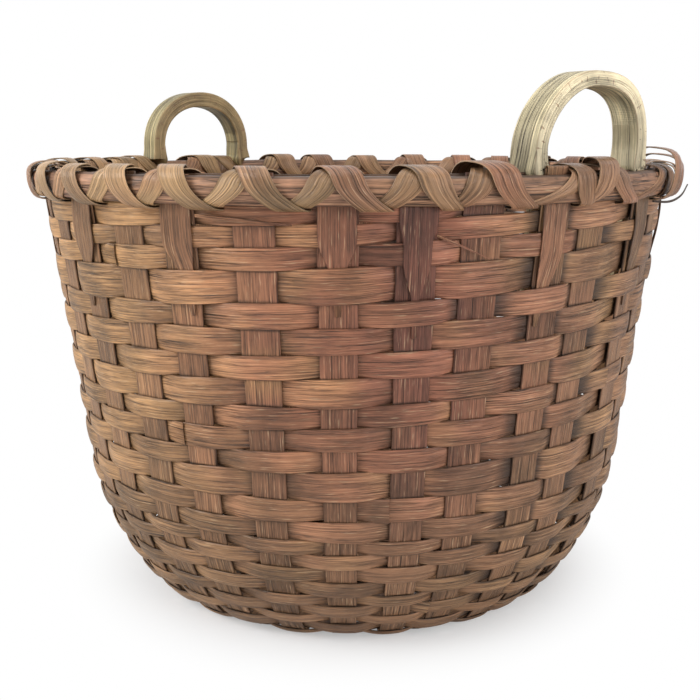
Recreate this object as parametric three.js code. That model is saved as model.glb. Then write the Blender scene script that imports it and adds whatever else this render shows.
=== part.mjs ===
// Splint gathering basket: plain-woven, round, with two bentwood handles lashed to its rim.
// Millimetres, +Z up. The origin is on the floor under the middle; the handles stand on the X axis.

import * as THREE from 'three';

// Rim
const rimRadius = 242; // round face of the outer hoop
const rimHeight = 318; // floor to the hoops' top
const hoopHeight = 17;
const outerHoopDepth = 6.5;
const innerHoopDepth = 7;
const hoopSteps = 48;
const hoopArcSteps = 4;

// Splints
const stakeThickness = 1.6;
const foldThickness = 1.0; // a stake's end, shaved thin before it is folded over
const weaverThickness = 1.4;
const fit = 0.3; // clearance between pieces that touch
const rowGap = 0.7; // between the edges of two rows
const discGap = 1; // and on the base's middle
const edgeMargin = 0.6; // a weaver stays flat this far past a stake's edge

// Body, on the stakes' middle surface
const baseRadius = 154;
const shoulderRadius = 207;
const shoulderHeight = 105;
const cornerStartShare = 0.27; // pull of the rounded corner's curve along the base
const cornerEndShare = 0.49; // and down the wall

// Stakes: sixteen spokes, each crossing the base, make thirty-two stakes
const spokeCount = 16;
const stakeCount = 2 * spokeCount;
const hubSlope = 15; // from the hub, where the spokes lie on one another, to their waist
const waistGap = 2; // and from there to the first row
const waistWidth = 10;
const waistThickness = 0.6;
const cornerWidth = 16; // stake width where the base turns up
const lowWallWidth = 20;
const lowWallReach = 60; // from the base's edge to that width
const rimWidth = 25.5;
const stubHeight = 1.2; // cut ends above the hoops
// Each spoke's turn from even spacing, in shares of the spacing, from the spoke at +X
const swayShares = [-0.14, 0.2, 0.06, -0.04, 0.06, -0.06, 0.04, 0.01, -0.07, -0.04, -0.12, -0.02, 0.07, 0.09, -0.03, 0.09];
const widthWobbleShare = 0.07;
const widthWobbleTurn = 2.4;
const foldedStakes = [1, 3, 4, 6, 8, 9, 11, 13, 14, 16, 18, 19, 21, 24, 26, 28, 29, 31];
const foldWidthShare = 0.92; // of the stake, where it bends over
const tuckWidthShare = 0.42;
const tipWidthShare = 0.12;

// Weave: rows from the middle of the base to the rim
const discStartShare = 0.305; // of the base, from where the first eight spokes are woven by themselves
const discEndShare = 0.65;
const discRows = 4;
const baseStartShare = 0.7; // of the base, from where all the spokes are woven
const baseRows = 3;
// Row widths up the corner and the wall, in shares of their mean
const wallRowShares = [0.88, 0.96, 0.68, 0.84, 0.74, 0.9, 0.88, 0.79, 0.72, 1.0,
  1.1, 1.36, 1.03, 1.1, 1.03, 1.27, 1.13, 1.2, 1.1, 1.5, 0.99, 0.92];
const cornerRowEdges = [1, 3, 6, 9]; // row edges at which the wall's faces turn
const rowLean = 9; // the rows climb to one side by this
const leanAngle = THREE.MathUtils.degToRad(47);
const leanLength = 90;
const crestDepth = 4.8; // a weaver peaks behind a stake no further than this
const lapCount = 2; // stations that a weaver's thinned ends share
const lapStepShare = 0.29; // of a round, from one row's lap to the next row's
const fillerLeastWidth = 4; // narrowest end of the short top row

// Lashing
const lashWidth = 15; // along the rim, as it leans
const lashThickness = 0.8;
const lashSlot = 5; // room under the hoops
const lashProud = 1.2; // stands off the hoops
const lashUnder = 1; // and below them
const lashRise = 3.4; // and above them
const lashStep = 1.8; // from one lashing to the other that lies on it
const slotMargin = 1.2; // between a lashing and the stakes beside it
const legMargin = 8.4; // between a handle's leg and the splints that cross beside it
const lashEdgeShare = 0.65; // of a hoop's depth, where a lashing turns over and under it
const squeezeShare = 0.75; // of its width, where a lashing squeezes past a handle's leg
const bellyShare = 0.5; // of a hoop's height, where a lashing passes its round face
const crossShare = 0.1; // half its run over the top, in shares of the stake spacing

// Handles
const handleRise = 61; // above the hoops
const handleSpread = 50; // middle of a leg from the middle of the handle
const gripWidth = 20; // across the basket's wall
const gripThickness = 9.5;
const legWidth = 11;
const notchThickness = 4; // what a leg keeps where the inner hoop is let into it
const tongueWidth = 10;
const tongueThickness = 4.5;
const tongueReach = 100; // below the hoops' top
const tongueEndWidth = 8;
const tongueEndThickness = 2;
const shoulderGap = 1.8; // handle's shoulder above the hoops
const shoulderSlope = 4.5;
const shoulderStraight = 12; // leg above the shoulder before the bow bends
const bowSteps = 8;
const bowSquareness = 2.3; // exponent of the bow's rounded outline
const gripInset = 16.5; // the grip's middle stands this far inside the stakes
const bulgeReach = 88; // the inner hoop comes back to the stakes in this, past a leg

const pitch = 2 * Math.PI / stakeCount;
const wrap = (stakeThickness + weaverThickness) / 2 + fit;
const foldOffset = stakeThickness / 2 + fit + foldThickness / 2;
const overFold = wrap + weaverThickness / 2 + fit + foldThickness / 2;
const tuckLift = foldThickness + fit;
const baseHeight = wrap + weaverThickness / 2;
const hoopFacet = rimRadius * (1 - Math.cos(Math.PI / hoopSteps));
const stakeBow = rimWidth ** 2 / (8 * rimRadius); // a flat stake's edges stand out from the round
const outerSeat = foldOffset + foldThickness / 2 + stakeBow + fit + hoopFacet;
const stakeRimRadius = rimRadius - outerHoopDepth - outerSeat;
const discStart = discStartShare * baseRadius;
const discEnd = discEndShare * baseRadius;
const baseStart = baseStartShare * baseRadius;
const waistRadius = discStart - waistGap;
const hubRadius = waistRadius - hubSlope;

const woods = {
  stake: new THREE.MeshStandardMaterial({ color: 0x8a6446, roughness: 0.75, metalness: 0 }),
  weaver: new THREE.MeshStandardMaterial({ color: 0x94704c, roughness: 0.72, metalness: 0 }),
  hoop: new THREE.MeshStandardMaterial({ color: 0x85644a, roughness: 0.7, metalness: 0 }),
  lashing: new THREE.MeshStandardMaterial({ color: 0xa98a5f, roughness: 0.5, metalness: 0 }),
  handle: new THREE.MeshStandardMaterial({ color: 0xb0a07a, roughness: 0.65, metalness: 0 }),
};

// Joins cross sections of alike point counts into one closed skin that faces out
function loft(name, sections, wood, closed = false) {
  const sides = sections[0].length;
  const points = sections.flat();
  const faces = [];
  const spans = closed ? sections.length : sections.length - 1;
  for (let i = 0; i < spans; i += 1) {
    const near = i * sides;
    const far = ((i + 1) % sections.length) * sides;
    for (let j = 0; j < sides; j += 1) {
      const next = (j + 1) % sides;
      faces.push([near + j, near + next, far + next], [near + j, far + next, far + j]);
    }
  }
  if (!closed) {
    const last = points.length - sides;
    for (let j = 1; j < sides - 1; j += 1) {
      faces.push([0, j + 1, j], [last, last + j, last + j + 1]);
    }
  }
  const volume = faces.reduce((sum, [a, b, c]) => (
    sum + points[a].dot(new THREE.Vector3().crossVectors(points[b], points[c]))), 0);
  const geometry = new THREE.BufferGeometry();
  geometry.setAttribute('position', new THREE.Float32BufferAttribute(points.flatMap((p) => p.toArray()), 3));
  geometry.setIndex(faces.flatMap(([a, b, c]) => (volume > 0 ? [a, b, c] : [a, c, b])));
  geometry.computeVertexNormals();
  const mesh = new THREE.Mesh(geometry, woods[wood].clone());
  mesh.name = name;
  return mesh;
}

// The stakes' middle surface in section: radius across, height up, by the length along it
function bodyCurve() {
  const wall = new THREE.Vector2(stakeRimRadius - shoulderRadius, rimHeight - shoulderHeight).normalize();
  const pull = wall.multiplyScalar(cornerEndShare * shoulderHeight);
  const curve = new THREE.Path();
  curve.moveTo(0, baseHeight);
  curve.lineTo(baseRadius, baseHeight);
  curve.bezierCurveTo(
    baseRadius + cornerStartShare * (shoulderRadius - baseRadius), baseHeight,
    shoulderRadius - pull.x, shoulderHeight - pull.y,
    shoulderRadius, shoulderHeight);
  curve.lineTo(stakeRimRadius, rimHeight);
  return curve;
}

const body = bodyCurve();
const bodyLength = body.getLength();
const wallEnd = bodyLength - hoopHeight - lashSlot - rowLean;

function runningTotal(start, end, shares) {
  const whole = shares.reduce((sum, share) => sum + share, 0);
  const edges = [start];
  shares.forEach((share) => edges.push(edges.at(-1) + (end - start) * share / whole));
  return edges;
}

const discEdges = runningTotal(discStart, discEnd, Array(discRows).fill(1));
const baseEdges = runningTotal(baseStart, baseRadius, Array(baseRows).fill(1));
const wallEdges = runningTotal(baseRadius, wallEnd, wallRowShares);
const leanStart = wallEdges[cornerRowEdges.at(-1)];

// The section as straight faces that turn only at row edges
const turns = [0, baseRadius, ...cornerRowEdges.map((edge) => wallEdges[edge]), bodyLength];
const turnPoints = turns.map((length) => body.getPoint(length / bodyLength));

function faceAt(length) {
  let face = 0;
  while (face < turns.length - 2 && length > turns[face + 1]) face += 1;
  return face;
}

function onBody(length) {
  const face = faceAt(length);
  const share = (length - turns[face]) / (turns[face + 1] - turns[face]);
  return turnPoints[face].clone().lerp(turnPoints[face + 1], share);
}

function faceNormal(face) {
  const along = turnPoints[face + 1].clone().sub(turnPoints[face]).normalize();
  return new THREE.Vector2(along.y, -along.x);
}

// A place on the body: its point, and the directions round, out and up
function station(angle, length, normal = faceNormal(faceAt(length))) {
  const spot = onBody(length);
  const outward = new THREE.Vector3(Math.cos(angle), Math.sin(angle), 0);
  const point = outward.clone().multiplyScalar(spot.x);
  point.z = spot.y;
  const round = new THREE.Vector3(-Math.sin(angle), Math.cos(angle), 0);
  const out = outward.multiplyScalar(normal.x);
  out.z = normal.y;
  return { point, round, out };
}

function place({ point, round, out }, across, away) {
  return point.clone().addScaledVector(round, across).addScaledVector(out, away);
}

function stakeAngle(stake) {
  return (stake + swayShares[stake % spokeCount]) * pitch;
}

function stakeWidth(stake, length) {
  const wobble = 1 + widthWobbleShare * Math.sin(stake % spokeCount * widthWobbleTurn);
  const marks = [waistRadius, baseRadius, baseRadius + lowWallReach, bodyLength];
  const widths = [waistWidth, cornerWidth, lowWallWidth, rimWidth * wobble];
  if (length <= marks[0]) return widths[0];
  const part = marks.findIndex((mark) => length <= mark);
  const share = part < 0 ? 1 : (length - marks[part - 1]) / (marks[part] - marks[part - 1]);
  return THREE.MathUtils.lerp(widths.at(part < 0 ? -1 : part - 1), widths.at(part), share);
}

function leanAt(angle, length) {
  const ease = THREE.MathUtils.smoothstep(length, leanStart, leanStart + leanLength);
  return rowLean * ease * Math.cos(angle - leanAngle);
}

function rowEdges(row, angle) {
  const [low, high] = [wallEdges[row], wallEdges[row + 1]];
  return [low + leanAt(angle, low) + rowGap / 2, high + leanAt(angle, high) - rowGap / 2];
}

// Rows are counted from the base's edge, and the stakes outside which a row passes take turns
const topRow = wallRowShares.length - 1;

function passesOutside(stake, row) {
  return (stake + row + topRow) % 2 === 0;
}

function tuckRow(stake) {
  return passesOutside(stake, topRow) ? topRow - 2 : topRow - 3;
}

function isTucked(stake, row) {
  return foldedStakes.includes(stake) && row === tuckRow(stake);
}

// How far behind a stake a weaver has to peak to clear its edges on the way in and out
function crestBehind(middle, edge, neighbours) {
  const needs = neighbours.map((neighbour) => {
    const offset = neighbour.clone().sub(middle.point);
    const across = Math.abs(offset.dot(middle.round));
    return wrap + edge * (offset.dot(middle.out) + wrap) / (across - edge);
  });
  return Math.max(wrap, ...needs);
}

// A weaver's path: the places where it turns, each with the row's two edges there, an offset
// round the basket and one out of the stakes' middle surface
function weaverPath(stakes, edgesAt, outside, lifted = () => false, open = false) {
  const frames = stakes.map((stake) => {
    const angle = stakeAngle(stake);
    const edges = edgesAt(angle);
    const middle = (edges[0] + edges[1]) / 2;
    const normal = faceNormal(faceAt(middle));
    const side = stakeWidth(stake, edges[1]) / 2 + edgeMargin;
    const away = wrap + (lifted(stake) ? tuckLift : 0);
    return { stake, angle, normal, side, away, middle: station(angle, middle, normal) };
  });
  const stopAt = ({ angle, normal, middle }, across, away) => {
    const turned = angle + across / Math.hypot(middle.point.x, middle.point.y);
    const edges = edgesAt(turned).map((length) => station(angle, length, normal));
    return { edges, across, away };
  };
  const path = [];
  frames.forEach((frame, i) => {
    const { side, away } = frame;
    if (outside(frame.stake)) {
      path.push(stopAt(frame, -side, away), stopAt(frame, side, away));
      return;
    }
    const before = frames.at(i - 1);
    const after = frames[(i + 1) % frames.length];
    const ends = [
      place(before.middle, before.side, before.away),
      place(after.middle, -after.side, after.away),
    ];
    const alone = open && (i === 0 || i === frames.length - 1);
    const crest = alone ? wrap : crestBehind(frame.middle, side, ends);
    if (crest > crestDepth || alone) {
      path.push(stopAt(frame, -side, -wrap), stopAt(frame, side, -wrap));
    } else {
      path.push(stopAt(frame, 0, -crest));
    }
  });
  return path;
}

function weaverSection({ edges, across, away }, inner, outer) {
  const [low, high] = edges;
  return [
    place(low, across, away + inner),
    place(low, across, away + outer),
    place(high, across, away + outer),
    place(high, across, away + inner),
  ];
}

// A row of its own splint, whose two thinned ends lap behind the stakes
function weaverRow(name, path, startShare) {
  const half = weaverThickness / 2;
  const behind = path.map((stop, i) => i).filter((i) => path[i].away < 0);
  const start = behind[Math.floor(startShare * behind.length) % behind.length];
  const sections = [];
  for (let i = 0; i < path.length + lapCount; i += 1) {
    const stop = path[(start + i) % path.length];
    const inner = i >= path.length ? fit / 2 : -half;
    const outer = i < lapCount ? -fit / 2 : half;
    sections.push(weaverSection(stop, inner, outer));
  }
  return loft(name, sections, 'weaver');
}

function lapShare(row) {
  return row * lapStepShare % 1;
}

const allStakes = Array.from({ length: stakeCount }, (_, i) => i);
const firstStakes = allStakes.filter((stake) => stake % 2 === 0);

function inset(edges, row, gap) {
  return () => [edges[row] + gap / 2, edges[row + 1] - gap / 2];
}

function buildDiscRow(row) {
  const path = weaverPath(firstStakes, inset(discEdges, row, discGap), (stake) => (stake / 2 + row) % 2 === 0);
  return weaverRow(`disc_weaver_${row + 1}`, path, lapShare(row));
}

function buildBaseRow(row) {
  const path = weaverPath(allStakes, inset(baseEdges, row, rowGap), (stake) => passesOutside(stake, row - baseRows));
  return weaverRow(`base_weaver_${row + 1}`, path, lapShare(row));
}

function buildWallRow(row) {
  const path = weaverPath(
    allStakes,
    (angle) => rowEdges(row, angle),
    (stake) => passesOutside(stake, row),
    (stake) => isTucked(stake, row));
  return weaverRow(`wall_weaver_${String(row + 1).padStart(2, '0')}`, path, lapShare(row));
}

// The short row that levels the leaning weave up to the rim
function fillerEdges(angle) {
  return [rowEdges(topRow, angle)[1] + rowGap, bodyLength - hoopHeight - lashSlot];
}

function isFilled(stake) {
  const [low, high] = fillerEdges(stakeAngle(stake));
  return high - low > fillerLeastWidth;
}

function buildFillerRow() {
  const first = allStakes.find((stake) => isFilled(stake) && !isFilled((stake + stakeCount - 1) % stakeCount));
  const run = allStakes.map((i) => (first + i) % stakeCount).filter(isFilled);
  const path = weaverPath(run, fillerEdges, (stake) => passesOutside(stake, topRow + 1), () => false, true);
  const half = weaverThickness / 2;
  return loft('filler_weaver', path.map((stop) => weaverSection(stop, -half, half)), 'weaver');
}

// Spokes
function turnNormal(length) {
  const turn = turns.indexOf(length);
  if (turn < 1 || turn > turns.length - 2) return faceNormal(faceAt(length));
  const [before, after] = [faceNormal(turn - 1), faceNormal(turn)];
  const middle = before.clone().add(after).normalize();
  return middle.divideScalar(middle.dot(before));
}

// A spoke's half: where it turns, how far it lies above the woven level there, and how thick it is
function spokeStops(spoke) {
  const order = Math.floor(spoke / 2);
  const levels = waistThickness + fit;
  const onTop = spoke % 2 === 1;
  const riding = crestDepth + (weaverThickness + stakeThickness) / 2 + fit;
  const hubLift = (onTop ? spokeCount / 2 + order : order) * levels;
  const stops = [[hubRadius, hubLift, waistThickness], [waistRadius, onTop ? riding : 0, stakeThickness]];
  if (onTop) {
    stops.push([discEnd, riding, stakeThickness], [baseStart, 0, stakeThickness]);
  }
  turns.slice(1, -1).forEach((length) => stops.push([length, 0, stakeThickness]));
  return stops;
}

function stakeSection(stake, length, inner, outer, widthShare, normal) {
  const frame = station(stakeAngle(stake), length, normal);
  const half = stakeWidth(stake, length) * widthShare / 2;
  return [
    place(frame, -half, inner),
    place(frame, -half, outer),
    place(frame, half, outer),
    place(frame, half, inner),
  ];
}

// A stake's end folded over its own top and down the outside, where a row of the weave holds it
function foldSections(stake) {
  const half = foldThickness / 2;
  const bend = bodyLength - stakeThickness;
  const angle = stakeAngle(stake);
  const tuck = tuckRow(stake);
  const fold = (length, away, share) => stakeSection(stake, length, away + half, away - half, share);
  const middle = (stakeThickness + fit) / 2;
  const crown = [bodyLength, bend].map((length) => (
    stakeSection(stake, length, middle, middle, foldWidthShare)));
  const sections = [
    stakeSection(stake, bend, -stakeThickness / 2, stakeThickness / 2, foldWidthShare),
    [crown[0][0], crown[1][0], crown[1][2], crown[0][2]],
    fold(bend, foldOffset, foldWidthShare),
    fold(bodyLength - hoopHeight, foldOffset, foldWidthShare),
  ];
  const passOver = ([low, high], share) => {
    sections.push(fold(high + edgeMargin, overFold, share), fold(low - edgeMargin, overFold, share));
  };
  if (isFilled(stake) && passesOutside(stake, topRow + 1)) passOver(fillerEdges(angle), foldWidthShare);
  for (let row = topRow; row > tuck; row -= 1) {
    const share = THREE.MathUtils.lerp(foldWidthShare, tuckWidthShare, (topRow - row) / (topRow - tuck));
    if (passesOutside(stake, row)) passOver(rowEdges(row, angle), share);
  }
  const [tuckLow, tuckHigh] = rowEdges(tuck, angle);
  const tip = rowEdges(tuck - 1, angle)[0];
  sections.push(fold(tuckHigh, foldOffset, tuckWidthShare));
  sections.push(fold((tuckLow + tip) / 2, foldOffset, tipWidthShare));
  return sections;
}

function endSections(stake) {
  if (foldedStakes.includes(stake)) return foldSections(stake);
  const half = stakeThickness / 2;
  return [stakeSection(stake, bodyLength + stubHeight, -half, half, 1)];
}

function buildSpoke(spoke) {
  const halfSections = (stake) => {
    const sections = spokeStops(spoke).map(([length, lift, thickness]) => (
      stakeSection(stake, length, -lift - thickness / 2, -lift + thickness / 2, 1, turnNormal(length))));
    return [...sections, ...endSections(stake)];
  };
  const near = halfSections(spoke);
  const far = halfSections(spoke + spokeCount).map(([a, b, c, d]) => [d, c, b, a]);
  return loft(`spoke_${String(spoke + 1).padStart(2, '0')}`, [...far.reverse(), ...near], 'stake');
}

// Handles' legs, where the inner hoop bends over them
const innerSeat = stakeThickness / 2 + fit;
const legSeat = innerSeat + notchThickness + fit;
const tongueOffset = crestDepth + weaverThickness / 2 + fit;
const legAngle = Math.asin(handleSpread / stakeRimRadius);
const legHalf = (tongueWidth / 2 + slotMargin) / stakeRimRadius;
const legs = [legAngle, Math.PI - legAngle, Math.PI + legAngle, 2 * Math.PI - legAngle];

function innerHoopSeat(angle) {
  const turned = Math.abs(Math.asin(Math.sin(angle)));
  const apart = stakeRimRadius * (turned - legAngle - legHalf - 2 * Math.PI / hoopSteps);
  return THREE.MathUtils.lerp(legSeat, innerSeat, THREE.MathUtils.smoothstep(apart, 0, bulgeReach));
}

// A place at the rim: out from the stakes' middle surface and down from the hoops' top
function onRim(angle, away, drop) {
  return place(station(angle, bodyLength - drop), 0, away);
}

function buildHoop(name, seatAt, depth, direction) {
  const sections = [];
  for (let i = 0; i < hoopSteps; i += 1) {
    const angle = 2 * Math.PI * i / hoopSteps;
    const section = [];
    for (let j = 0; j <= hoopArcSteps; j += 1) {
      const turn = Math.PI * j / hoopArcSteps;
      const away = direction * (seatAt(angle) + depth * Math.sin(turn));
      section.push(onRim(angle, away, hoopHeight / 2 * (1 - Math.cos(turn))));
    }
    sections.push(section);
  }
  return loft(name, sections, 'hoop', true);
}

// Lashing: two splints that go round the rim in opposite directions through every gap between stakes
function slotAt(gap) {
  const top = bodyLength - hoopHeight;
  const edge = (stake) => stakeWidth(stake, top) / 2 / stakeRimRadius;
  const next = (gap + 1) % stakeCount;
  const low = stakeAngle(gap) + edge(gap);
  const high = nearTurn(stakeAngle(next), low) - edge(next);
  const [from, to] = clearOfLegs(low, high);
  const width = (to - from) * stakeRimRadius - 2 * slotMargin;
  return { angle: (from + to) / 2, width: Math.min(lashWidth, width) };
}

// The wider side of a gap that a leg's tongue reaches into
function clearOfLegs(low, high) {
  const leg = legs.find((angle) => angle + legHalf > low && angle - legHalf < high);
  if (leg === undefined) return [low, high];
  return leg > (low + high) / 2 ? [low, leg - legHalf] : [leg + legHalf, high];
}

// The splints cross over the stakes, or go straight over beside a handle's leg
function crossAt(stake, beside) {
  const angle = nearTurn(stakeAngle(stake), beside);
  const width = squeezeShare * lashWidth;
  const room = (legWidth / 2 + width / 2 + legMargin) / stakeRimRadius;
  const leg = legs.map((place) => nearTurn(place, angle)).find((place) => Math.abs(place - angle) < room);
  if (leg === undefined) return { angle, run: crossShare * pitch, width: lashWidth };
  return { angle: leg + room * Math.sign(angle - leg), run: 0, width };
}

function nearTurn(angle, beside) {
  return angle - Math.round((angle - beside) / (2 * Math.PI)) * 2 * Math.PI;
}

const slots = allStakes.map(slotAt);

// A turn of lashing, as angles and widths with places out from the stakes' middle surface and
// down from the hoops' top: up the outer hoop, over the rim and down the inner hoop
function lashTurn(level, direction, slot, next, cross) {
  const lift = level * lashStep;
  const under = hoopHeight + lashUnder + lift;
  const over = -lashRise - lift;
  const belly = bellyShare * hoopHeight;
  const rise = (under - belly) / (under - over);
  const outer = (share) => outerSeat + share * outerHoopDepth + lashProud + lift;
  const inner = (angle, share) => (
    -innerHoopSeat(angle) - share * innerHoopDepth - hoopFacet - lashProud - lift);
  const [upper, lower] = [-direction, direction].map((way) => cross.angle + way * cross.run);
  const upAngle = THREE.MathUtils.lerp(slot.angle, upper, rise);
  const downAngle = THREE.MathUtils.lerp(next.angle, lower, rise);
  return [
    [slot.angle, slot.width, outer(lashEdgeShare), under],
    [upAngle, lashWidth, outer(1), belly],
    [upper, cross.width, outer(lashEdgeShare), over],
    [lower, cross.width, inner(cross.angle, lashEdgeShare), over],
    [downAngle, lashWidth, inner(downAngle, 1), belly],
    [next.angle, next.width, inner(next.angle, lashEdgeShare), under],
  ];
}

// Where a strip's path turns: half its thickness, mitred to both of its runs
function mitre(before, here, after) {
  const across = (from, to) => new THREE.Vector2(to[3] - from[3], from[2] - to[2]).normalize();
  const [first, second] = [across(before, here), across(here, after)];
  return first.clone().add(second).multiplyScalar(lashThickness / 2 / (1 + first.dot(second)));
}

// The least gap between a lashing's turns, on points along its two edges
function leastGap(stops) {
  const perTurn = stops.length / stakeCount;
  const points = stops.flatMap(([angle, width, away, drop], i) => [-1, 1].map((side) => ({
    turn: i / perTurn,
    edge: place(station(angle, bodyLength - drop), side * width / 2, away),
  })));
  const gaps = points.flatMap((one) => points.map((other) => {
    const apart = Math.abs(one.turn - other.turn);
    const neighbours = Math.min(apart, stakeCount - apart) < 1;
    return neighbours ? Infinity : one.edge.distanceTo(other.edge) - lashThickness;
  }));
  return gaps.reduce((least, gap) => Math.min(least, gap), Infinity);
}

function buildLashing(name, direction, level) {
  const stops = allStakes.flatMap((i) => {
    const gap = direction > 0 ? i : stakeCount - 1 - i;
    const slot = slots[gap];
    const next = slots[(gap + direction + stakeCount) % stakeCount];
    const stake = direction > 0 ? (gap + 1) % stakeCount : gap;
    const cross = crossAt(stake, slot.angle);
    const far = { ...next, angle: nearTurn(next.angle, cross.angle) };
    return lashTurn(level, direction, slot, far, cross);
  });
  console.log(`${name}: least gap to itself ${leastGap(stops).toFixed(2)} mm`);
  const sections = stops.map((stop, i) => {
    const [angle, width, away, drop] = stop;
    const half = mitre(stops.at(i - 1), stop, stops[(i + 1) % stops.length]);
    const frame = (side) => station(angle, bodyLength - drop - side * half.y);
    const corner = (across, side) => place(frame(side), across * width / 2, away + side * half.x);
    return [corner(-1, -1), corner(-1, 1), corner(1, 1), corner(1, -1)];
  });
  return loft(name, sections, 'lashing', true);
}

// Handles: a bent bow with a shoulder on each leg, a notch for the inner hoop, and a tongue below it
// that goes down inside the weave
function handleHalf() {
  const sections = [];
  const tongue = (drop, width, outer, thickness) => {
    const frame = station(legAngle, bodyLength - drop);
    sections.push([
      place(frame, -width / 2, -outer - thickness),
      place(frame, -width / 2, -outer),
      place(frame, width / 2, -outer),
      place(frame, width / 2, -outer - thickness),
    ]);
  };
  const bottom = hoopHeight + fit;
  tongue(tongueReach, tongueEndWidth, tongueOffset, tongueEndThickness);
  tongue(hoopHeight + lashSlot, tongueWidth, tongueOffset, tongueThickness);
  tongue(bottom + fit, tongueWidth, innerSeat, tongueOffset + tongueThickness - innerSeat);
  tongue(bottom, tongueWidth, innerSeat, notchThickness);
  tongue(-shoulderGap, tongueWidth, innerSeat, notchThickness);
  const x = stakeRimRadius - gripInset;
  const legTop = shoulderGap + shoulderSlope;
  const riseTo = handleRise - gripThickness / 2;
  const bowStart = legTop + shoulderStraight;
  const addBow = (y, z, turn, thickness) => {
    const out = new THREE.Vector3(0, Math.cos(turn), Math.sin(turn)).multiplyScalar(thickness / 2);
    const centre = new THREE.Vector3(x, y, rimHeight + z);
    const width = new THREE.Vector3(gripWidth / 2, 0, 0);
    sections.push([
      centre.clone().sub(width).sub(out),
      centre.clone().add(width).sub(out),
      centre.clone().add(width).add(out),
      centre.clone().sub(width).add(out),
    ]);
  };
  addBow(handleSpread, legTop, 0, legWidth);
  for (let i = 0; i <= bowSteps; i += 1) {
    const turn = Math.PI / 2 * i / bowSteps;
    const y = handleSpread * Math.cos(turn) ** (2 / bowSquareness);
    const z = bowStart + (riseTo - bowStart) * Math.sin(turn) ** (2 / bowSquareness);
    const thickness = THREE.MathUtils.lerp(legWidth, gripThickness, i / bowSteps);
    addBow(y, z, turn, thickness);
  }
  return sections;
}

function buildHandle(name, turn) {
  const half = handleHalf();
  const other = half.slice(0, -1).map((section) => {
    const [a, b, c, d] = section.map((p) => new THREE.Vector3(p.x, -p.y, p.z));
    return [a, b, c, d];
  });
  const handle = loft(name, [...half, ...other.reverse()], 'handle');
  handle.rotation.z = turn;
  return handle;
}

const basket = new THREE.Group();
basket.name = 'splint_basket';
for (let spoke = 0; spoke < spokeCount; spoke += 1) basket.add(buildSpoke(spoke));
for (let row = 0; row < discRows; row += 1) basket.add(buildDiscRow(row));
for (let row = 0; row < baseRows; row += 1) basket.add(buildBaseRow(row));
for (let row = 0; row <= topRow; row += 1) basket.add(buildWallRow(row));
basket.add(buildFillerRow());
basket.add(buildHoop('outer_hoop', () => outerSeat, outerHoopDepth, 1));
basket.add(buildHoop('inner_hoop', innerHoopSeat, innerHoopDepth, -1));
basket.add(buildLashing('under_lashing', 1, 0));
basket.add(buildLashing('over_lashing', -1, 1));
basket.add(buildHandle('right_handle', 0));
basket.add(buildHandle('left_handle', Math.PI));

export default basket;
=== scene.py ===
"""Dresses a packed splint gathering basket: every splint, hoop, lashing and handle, with its wood."""
import math
from collections import namedtuple

import bmesh
import bpy
import numpy as np
from bpy.props import FloatProperty, FloatVectorProperty, PointerProperty
from mathutils import Euler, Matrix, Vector
from mathutils.geometry import interpolate_bezier


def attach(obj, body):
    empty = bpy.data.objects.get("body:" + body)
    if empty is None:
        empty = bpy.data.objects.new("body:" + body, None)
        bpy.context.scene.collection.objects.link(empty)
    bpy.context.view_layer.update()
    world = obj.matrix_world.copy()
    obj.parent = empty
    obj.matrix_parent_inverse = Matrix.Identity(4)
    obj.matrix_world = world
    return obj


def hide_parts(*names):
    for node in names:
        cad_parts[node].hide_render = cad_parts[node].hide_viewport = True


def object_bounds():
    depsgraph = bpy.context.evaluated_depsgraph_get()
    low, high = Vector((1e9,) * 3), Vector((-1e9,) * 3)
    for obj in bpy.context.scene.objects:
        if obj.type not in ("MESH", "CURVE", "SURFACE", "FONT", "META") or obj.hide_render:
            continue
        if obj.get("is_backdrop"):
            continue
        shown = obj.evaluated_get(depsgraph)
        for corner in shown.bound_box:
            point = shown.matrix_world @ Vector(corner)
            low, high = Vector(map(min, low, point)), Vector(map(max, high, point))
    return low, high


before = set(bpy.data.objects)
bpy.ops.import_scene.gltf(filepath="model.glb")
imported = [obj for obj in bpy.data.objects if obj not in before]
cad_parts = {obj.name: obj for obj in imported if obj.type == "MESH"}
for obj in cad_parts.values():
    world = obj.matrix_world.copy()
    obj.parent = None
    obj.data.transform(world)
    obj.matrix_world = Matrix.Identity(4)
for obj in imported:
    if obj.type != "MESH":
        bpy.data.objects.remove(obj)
CAD_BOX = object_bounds()

bl_info = {
    "name": "Splint Basket",
    "version": (1, 0, 0),
    "blender": (4, 5, 0),
    "location": "3D View > Sidebar > Basket",
    "description": "Weaves a splint basket with lashed hoops and bentwood handles over its frame",
    "category": "Object",
}

# Spokes, whose two ends each stand up as a stake
SPOKES = 16
STAKES = 2 * SPOKES
PITCH = 2 * math.pi / STAKES
# Each spoke's turn from even spacing, in shares of the spacing
SWAY_SHARES = (-0.14, 0.2, 0.06, -0.04, 0.06, -0.06, 0.04, 0.01,
               -0.07, -0.04, -0.12, -0.02, 0.07, 0.09, -0.03, 0.09)
WIDTH_WOBBLE_SHARE = 0.07  # how unevenly wide the stakes are
WIDTH_WOBBLE_TURN = 2.4  # radians from one spoke's wobble to the next one's
RAGGED_SHARE = 0.03  # how far a stake's edges wander, in shares of half its width
RAGGED_RATE = 9  # how fast they do, in radians a metre
SMOOTH_SPAN = 7  # stops over which a spoke eases from one layer to the next

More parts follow.
